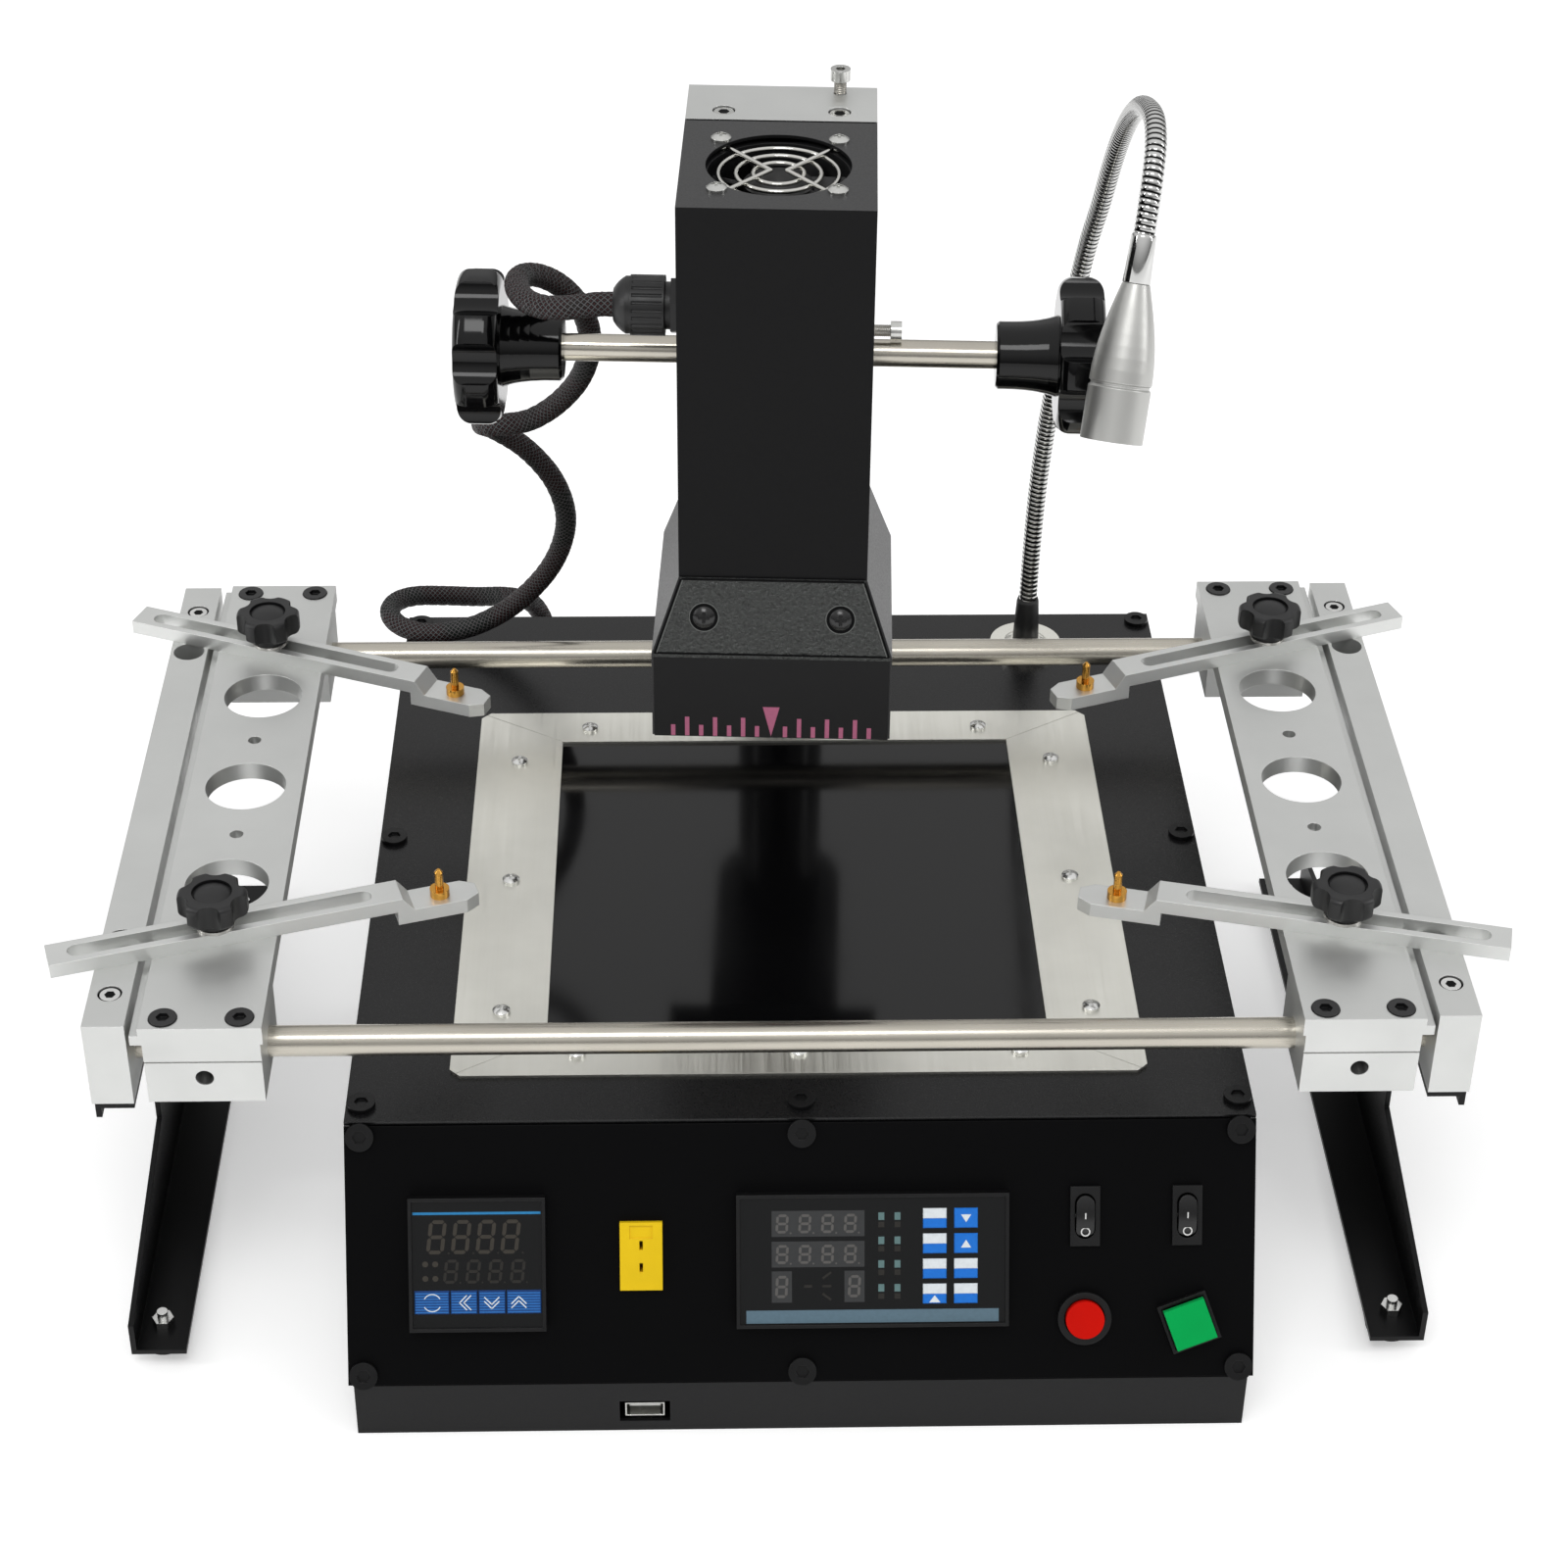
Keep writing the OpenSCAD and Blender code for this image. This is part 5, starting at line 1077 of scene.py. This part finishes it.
class STATION_OT_head(bpy.types.Operator):
    """Finishes the head: cover, hood with its apron and scale, block, fan, guard, gland and screws"""

    bl_idname = "station.head"
    bl_label = "Heater head"

    def execute(self, context):
        colours, sizes = context.scene.station_colours, context.scene.station_sizes
        self.cover(colours)
        dress(painted_sheet("hood_paint", tone(36, 36, 37), 0.4, 0.45, 0.03), "heater_hood")
        thick = sizes.apron_thickness / MM
        sheet = folded_apron(thick)
        skirt = painted_sheet("skirt_paint", colours.head_paint, 0.45, 0.2, 0.02)
        apron = place_piece("hood_apron", sheet, "head", "black_paint",
                            leather_paint("apron_paint", colours.apron_paint), skirt)
        second_finish(sheet, lambda polygon: polygon.center.z < (HOOD_KNEE - 0.6) * MM)
        bevel = apron.modifiers.new("rounded_sheet_edges", "BEVEL")
        bevel.width, bevel.segments, bevel.limit_method = 0.0002, 2, "ANGLE"
        self.scale(colours, thick)
        self.slope_lines(thick)
        # Painted shade round the two sunk screws on the top and in the seam at the back of the cover
        top = FaceArt(on_head() @ Matrix.Translation(mm(0, 0, HEAD_TOP)))
        for x in (-20.0, 20.0):
            top.socket(x, 18.0, 3.5, 4.0, -0.44)
        top.box(-32.4, COVER_BACK - 1.1, 32.4, COVER_BACK - 0.1, 0.06, "gap")
        seam = printed("seam_painted_shade", tone(4, 4, 5), 0.6, 0.1)
        top.piece("head_top_gaps", "head", "black_paint", {"gap": seam})
        dress(blasted_aluminium("block_aluminium", colours.aluminium), "head_carriage")
        self.screws()
        dress(drawn_steel("guard_wire", tone(214, 213, 208), 0.12, (1, 1, 1)), "fan_guard")
        dress(moulded_plastic("fan_plastic", tone(22, 22, 23), 0.4, 0.02), "fan_frame", "fan_rotor")
        dress(moulded_plastic("gland_plastic", tone(20, 20, 21), 0.4, 0.03), "head_gland")
        steel = drawn_steel("lift_steel", colours.rod_steel, 0.2, (0.02, 1.0, 1.0))
        dress(steel, "lift_rack", "pinion_shaft")
        dress(moulded_plastic("knob_gloss", tone(6, 6, 7), 0.09, 0.003, 0.32), "lift_knobs")
        thread = turned_metal("thread_steel", tone(170, 166, 158), 0.25)
        upright = Matrix.Translation(mm(20, 34.5, HEAD_TOP))
        level = Matrix.Translation(mm(33, 20, 321)) @ Matrix.Rotation(math.pi / 2, 4, "Y")
        for name, length, place in (("top_screw_thread", 5, upright), ("side_screw_thread", 7, level)):
            screw = thread_mesh(name, length * MM, 2.0 * MM, sizes.thread_pitch)
            screw.transform(on_head() @ place)
            place_piece(name, screw, "head", "polished_steel", thread)
        return {"FINISHED"}

    @staticmethod
    def cover(colours):
        """Matt sides and a satin top around the fan; the top is also painted lighter than the sides, as
        painted light from above.
        """
        mesh = node_mesh("head_cover")
        cover = place_piece("painted_cover", mesh, "head", "black_paint",
                            painted_sheet("cover_paint", colours.head_paint, 0.5, 0.13, 0.015),
                            painted_sheet("cover_top_painted_light", tone(34, 34, 35), 0.4, 0.6, 0.02))
        # Faces that look up take the lighter satin paint: painted light on the top
        second_finish(mesh, lambda polygon: polygon.normal.z > 0.5)
        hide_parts("head_cover")

    @staticmethod
    def screws():
        """Bright screws on the block and fan, black ones on the hood."""
        mesh = node_mesh("head_screws")
        screws = place_piece("head_screw_set", mesh, "head", "polished_steel",
                             turned_metal("head_screw_steel", tone(205, 205, 202), 0.2),
                             moulded_plastic("hood_screw_oxide", tone(7, 7, 8), 0.22, 0.01, 0.6))
        second_finish(mesh, lambda polygon: polygon.center.z < (HOOD_TOP + 5) * MM)
        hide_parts("head_screws")

    @staticmethod
    def slope_lines(thick):
        """Painted shade in the joints round the slope, above its fold and in the recessed rings of its two
        screws, with thin painted highlights beside the side joints and round the rings.
        """
        y, z = COVER_FRONT - HOOD_FRONT, HOOD_TOP - HOOD_KNEE
        up = Vector((0, y, z)).normalized()
        out = Vector((0, -up.z, up.y))
        turn = Matrix((Vector((1, 0, 0)), up, out)).transposed().to_4x4()
        middle = mm(0, (HOOD_FRONT + COVER_FRONT) / 2, (HOOD_KNEE + HOOD_TOP) / 2)
        art = FaceArt(on_head() @ Matrix.Translation(middle) @ turn)
        height, reach = thick + 0.16, math.hypot(y, z) / 2
        for s in (-1, 1):
            # Painted shade in each screw's recessed ring and along each side joint, each with a painted
            # highlight beside it
            art.ring(24.0 * s, 0, 3.9, 5.0, height, "joint")
            art.ring(24.0 * s, 0, 5.0, 5.3, height, "glint")
            art.stroke([(41.2 * s, 0.9 - reach), (32.3 * s, reach - 0.9)], 0.7, height, "joint")
            art.stroke([(40.5 * s, 1 - reach), (31.6 * s, reach - 1)], 0.3, height, "glint")
        # Painted shade along the top joint and just above the fold
        art.box(-32.0, reach - 0.9, 32.0, reach - 0.1, height, "joint")
        art.box(-41.2, 0.45 - reach, 41.2, 1.2 - reach, height, "joint")
        finishes = {"joint": printed("joint_painted_shade", tone(4, 4, 5), 0.6, 0.1),
                    "glint": printed("joint_painted_glint", tone(104, 106, 104), 0.4)}
        art.piece("slope_joints", "head", "black_paint", finishes)

    @staticmethod
    def scale(colours, thick):
        """Tick marks and pointer printed along the skirt's lower edge."""
        front = Matrix.Translation(mm(0, HOOD_FRONT, HOOD_BOTTOM)) @ Matrix.Rotation(math.pi / 2, 4, "X")
        art = FaceArt(on_head() @ front)
        height = thick + 0.12
        for i in range(-7, 8):
            if i == 0:
                art.shape([(-3.0, 13.2), (0.0, 0.8), (3.0, 13.2)], height, "print")
                continue
            tall = 5.0 if i % 2 else 8.4
            art.box(5.0 * i - 0.78, 0.4, 5.0 * i + 0.78, tall, height, "print")
        pink = printed("scale_print", colours.scale_pink, 0.5)
        art.piece("hood_scale", "head", "black_paint", {"print": pink})


# Board stand


def at_corners(kind):
    """Names of the four pieces of a kind."""
    return [kind + "_" + corner for corner in CORNERS]


class STATION_OT_stand(bpy.types.Operator):
    """Finishes the board stand: rods, bars, carriages, arms, pins and knobs"""

    bl_idname = "station.stand"
    bl_label = "Board stand"

    def execute(self, context):
        colours = context.scene.station_colours
        dress(drawn_steel("rod_steel", colours.rod_steel, 0.26, (0.02, 1.0, 1.0), 0.006), "guide_rods")
        plate = blasted_aluminium("stand_aluminium", colours.aluminium)
        dress(plate, "end_bars", "carriage_left", "carriage_right")
        dress(blasted_aluminium("arm_aluminium", tone(218, 219, 217)), *at_corners("arm"))
        dress(turned_metal("pin_brass", colours.brass, 0.22), *at_corners("pin"))
        dress(turned_metal("washer_steel", tone(190, 188, 184), 0.25), *at_corners("washer"))
        dress(moulded_plastic("clamp_knob_plastic", tone(20, 20, 21), 0.4, 0.03), *at_corners("knob"))
        dress(moulded_plastic("cap_screw_oxide", tone(20, 20, 21), 0.3, 0.02), "carriage_left_screws",
              "carriage_right_screws")
        low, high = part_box("end_bars")
        middle = (low + high) / 2
        deck = Vector((middle.x, middle.y, high.z))
        # Painted shade round the sunk screws in the end bars' counterbores
        bars = FaceArt(Matrix.Translation(deck))
        reach = (high.x - low.x) / 2 / MM - 7.25
        for x in (-reach, reach):
            for y in (-123.0, 123.0):
                bars.socket(x, y, 3.5, 4.25, -0.36)
        recess = printed("recess_painted_shade", tone(8, 8, 8), 0.6, 0.1)
        bars.piece("bar_screw_gaps", "base", "black_paint", {"gap": recess})
        bright = turned_metal("spare_hole_thread", tone(214, 214, 212), 0.25)
        for side, across in (("left", -198.0), ("right", 198.0)):
            for end, along in (("front", -36.08), ("rear", 36.08)):
                name = side + "_" + end + "_spare_thread"
                hole = thread_mesh(name, 4.5 * MM, 2.45 * MM, 0.8 * MM, -0.5)
                hole.transform(Matrix.Translation(deck + mm(across, along, -5)))
                place_piece(name, hole, side + "_carriage", "polished_steel", bright)
        tapped = turned_metal("tapped_hole", tone(70, 70, 69), 0.35)
        inward = Matrix.Rotation(-math.pi / 2, 4, "X")
        for side, across in (("left", -204.5), ("right", 191.5)):
            name = side + "_hole_thread"
            hole = thread_mesh(name, 8 * MM, 3.1 * MM, 1.0 * MM, -0.5)
            hole.transform(Matrix.Translation(mm(across, -177.4, 138.5)) @ inward)
            place_piece(name, hole, side + "_carriage", "polished_steel", tapped)
        return {"FINISHED"}


class STATION_PT_panel(bpy.types.Panel):
    """Lists the steps and the settings"""

    bl_idname = "STATION_PT_panel"
    bl_label = "Rework station"
    bl_space_type = "VIEW_3D"
    bl_region_type = "UI"
    bl_category = "Station"

    def draw(self, context):
        for step in STEPS:
            self.layout.operator(step.bl_idname)
        scene = context.scene
        for group in (scene.station_sizes, scene.station_colours, scene.station_light):
            for name in group.__annotations__:
                self.layout.prop(group, name)


STEPS = (STATION_OT_stage, STATION_OT_cable, STATION_OT_lamp, STATION_OT_cabinet, STATION_OT_heater,
         STATION_OT_controllers, STATION_OT_switches, STATION_OT_head, STATION_OT_stand)
GROUPS = (StationColours, StationSizes, StationLight)


def register():
    for made in GROUPS + STEPS + (STATION_PT_panel,):
        bpy.utils.register_class(made)
    bpy.types.Scene.station_colours = bpy.props.PointerProperty(type=StationColours)
    bpy.types.Scene.station_sizes = bpy.props.PointerProperty(type=StationSizes)
    bpy.types.Scene.station_light = bpy.props.PointerProperty(type=StationLight)


def unregister():
    for name in ("station_light", "station_sizes", "station_colours"):
        delattr(bpy.types.Scene, name)
    for made in reversed(GROUPS + STEPS + (STATION_PT_panel,)):
        bpy.utils.unregister_class(made)


def main():
    register()
    for step in STEPS:
        group, name = step.bl_idname.split(".")
        getattr(getattr(bpy.ops, group), name)()


if __name__ == "__main__":
    main()
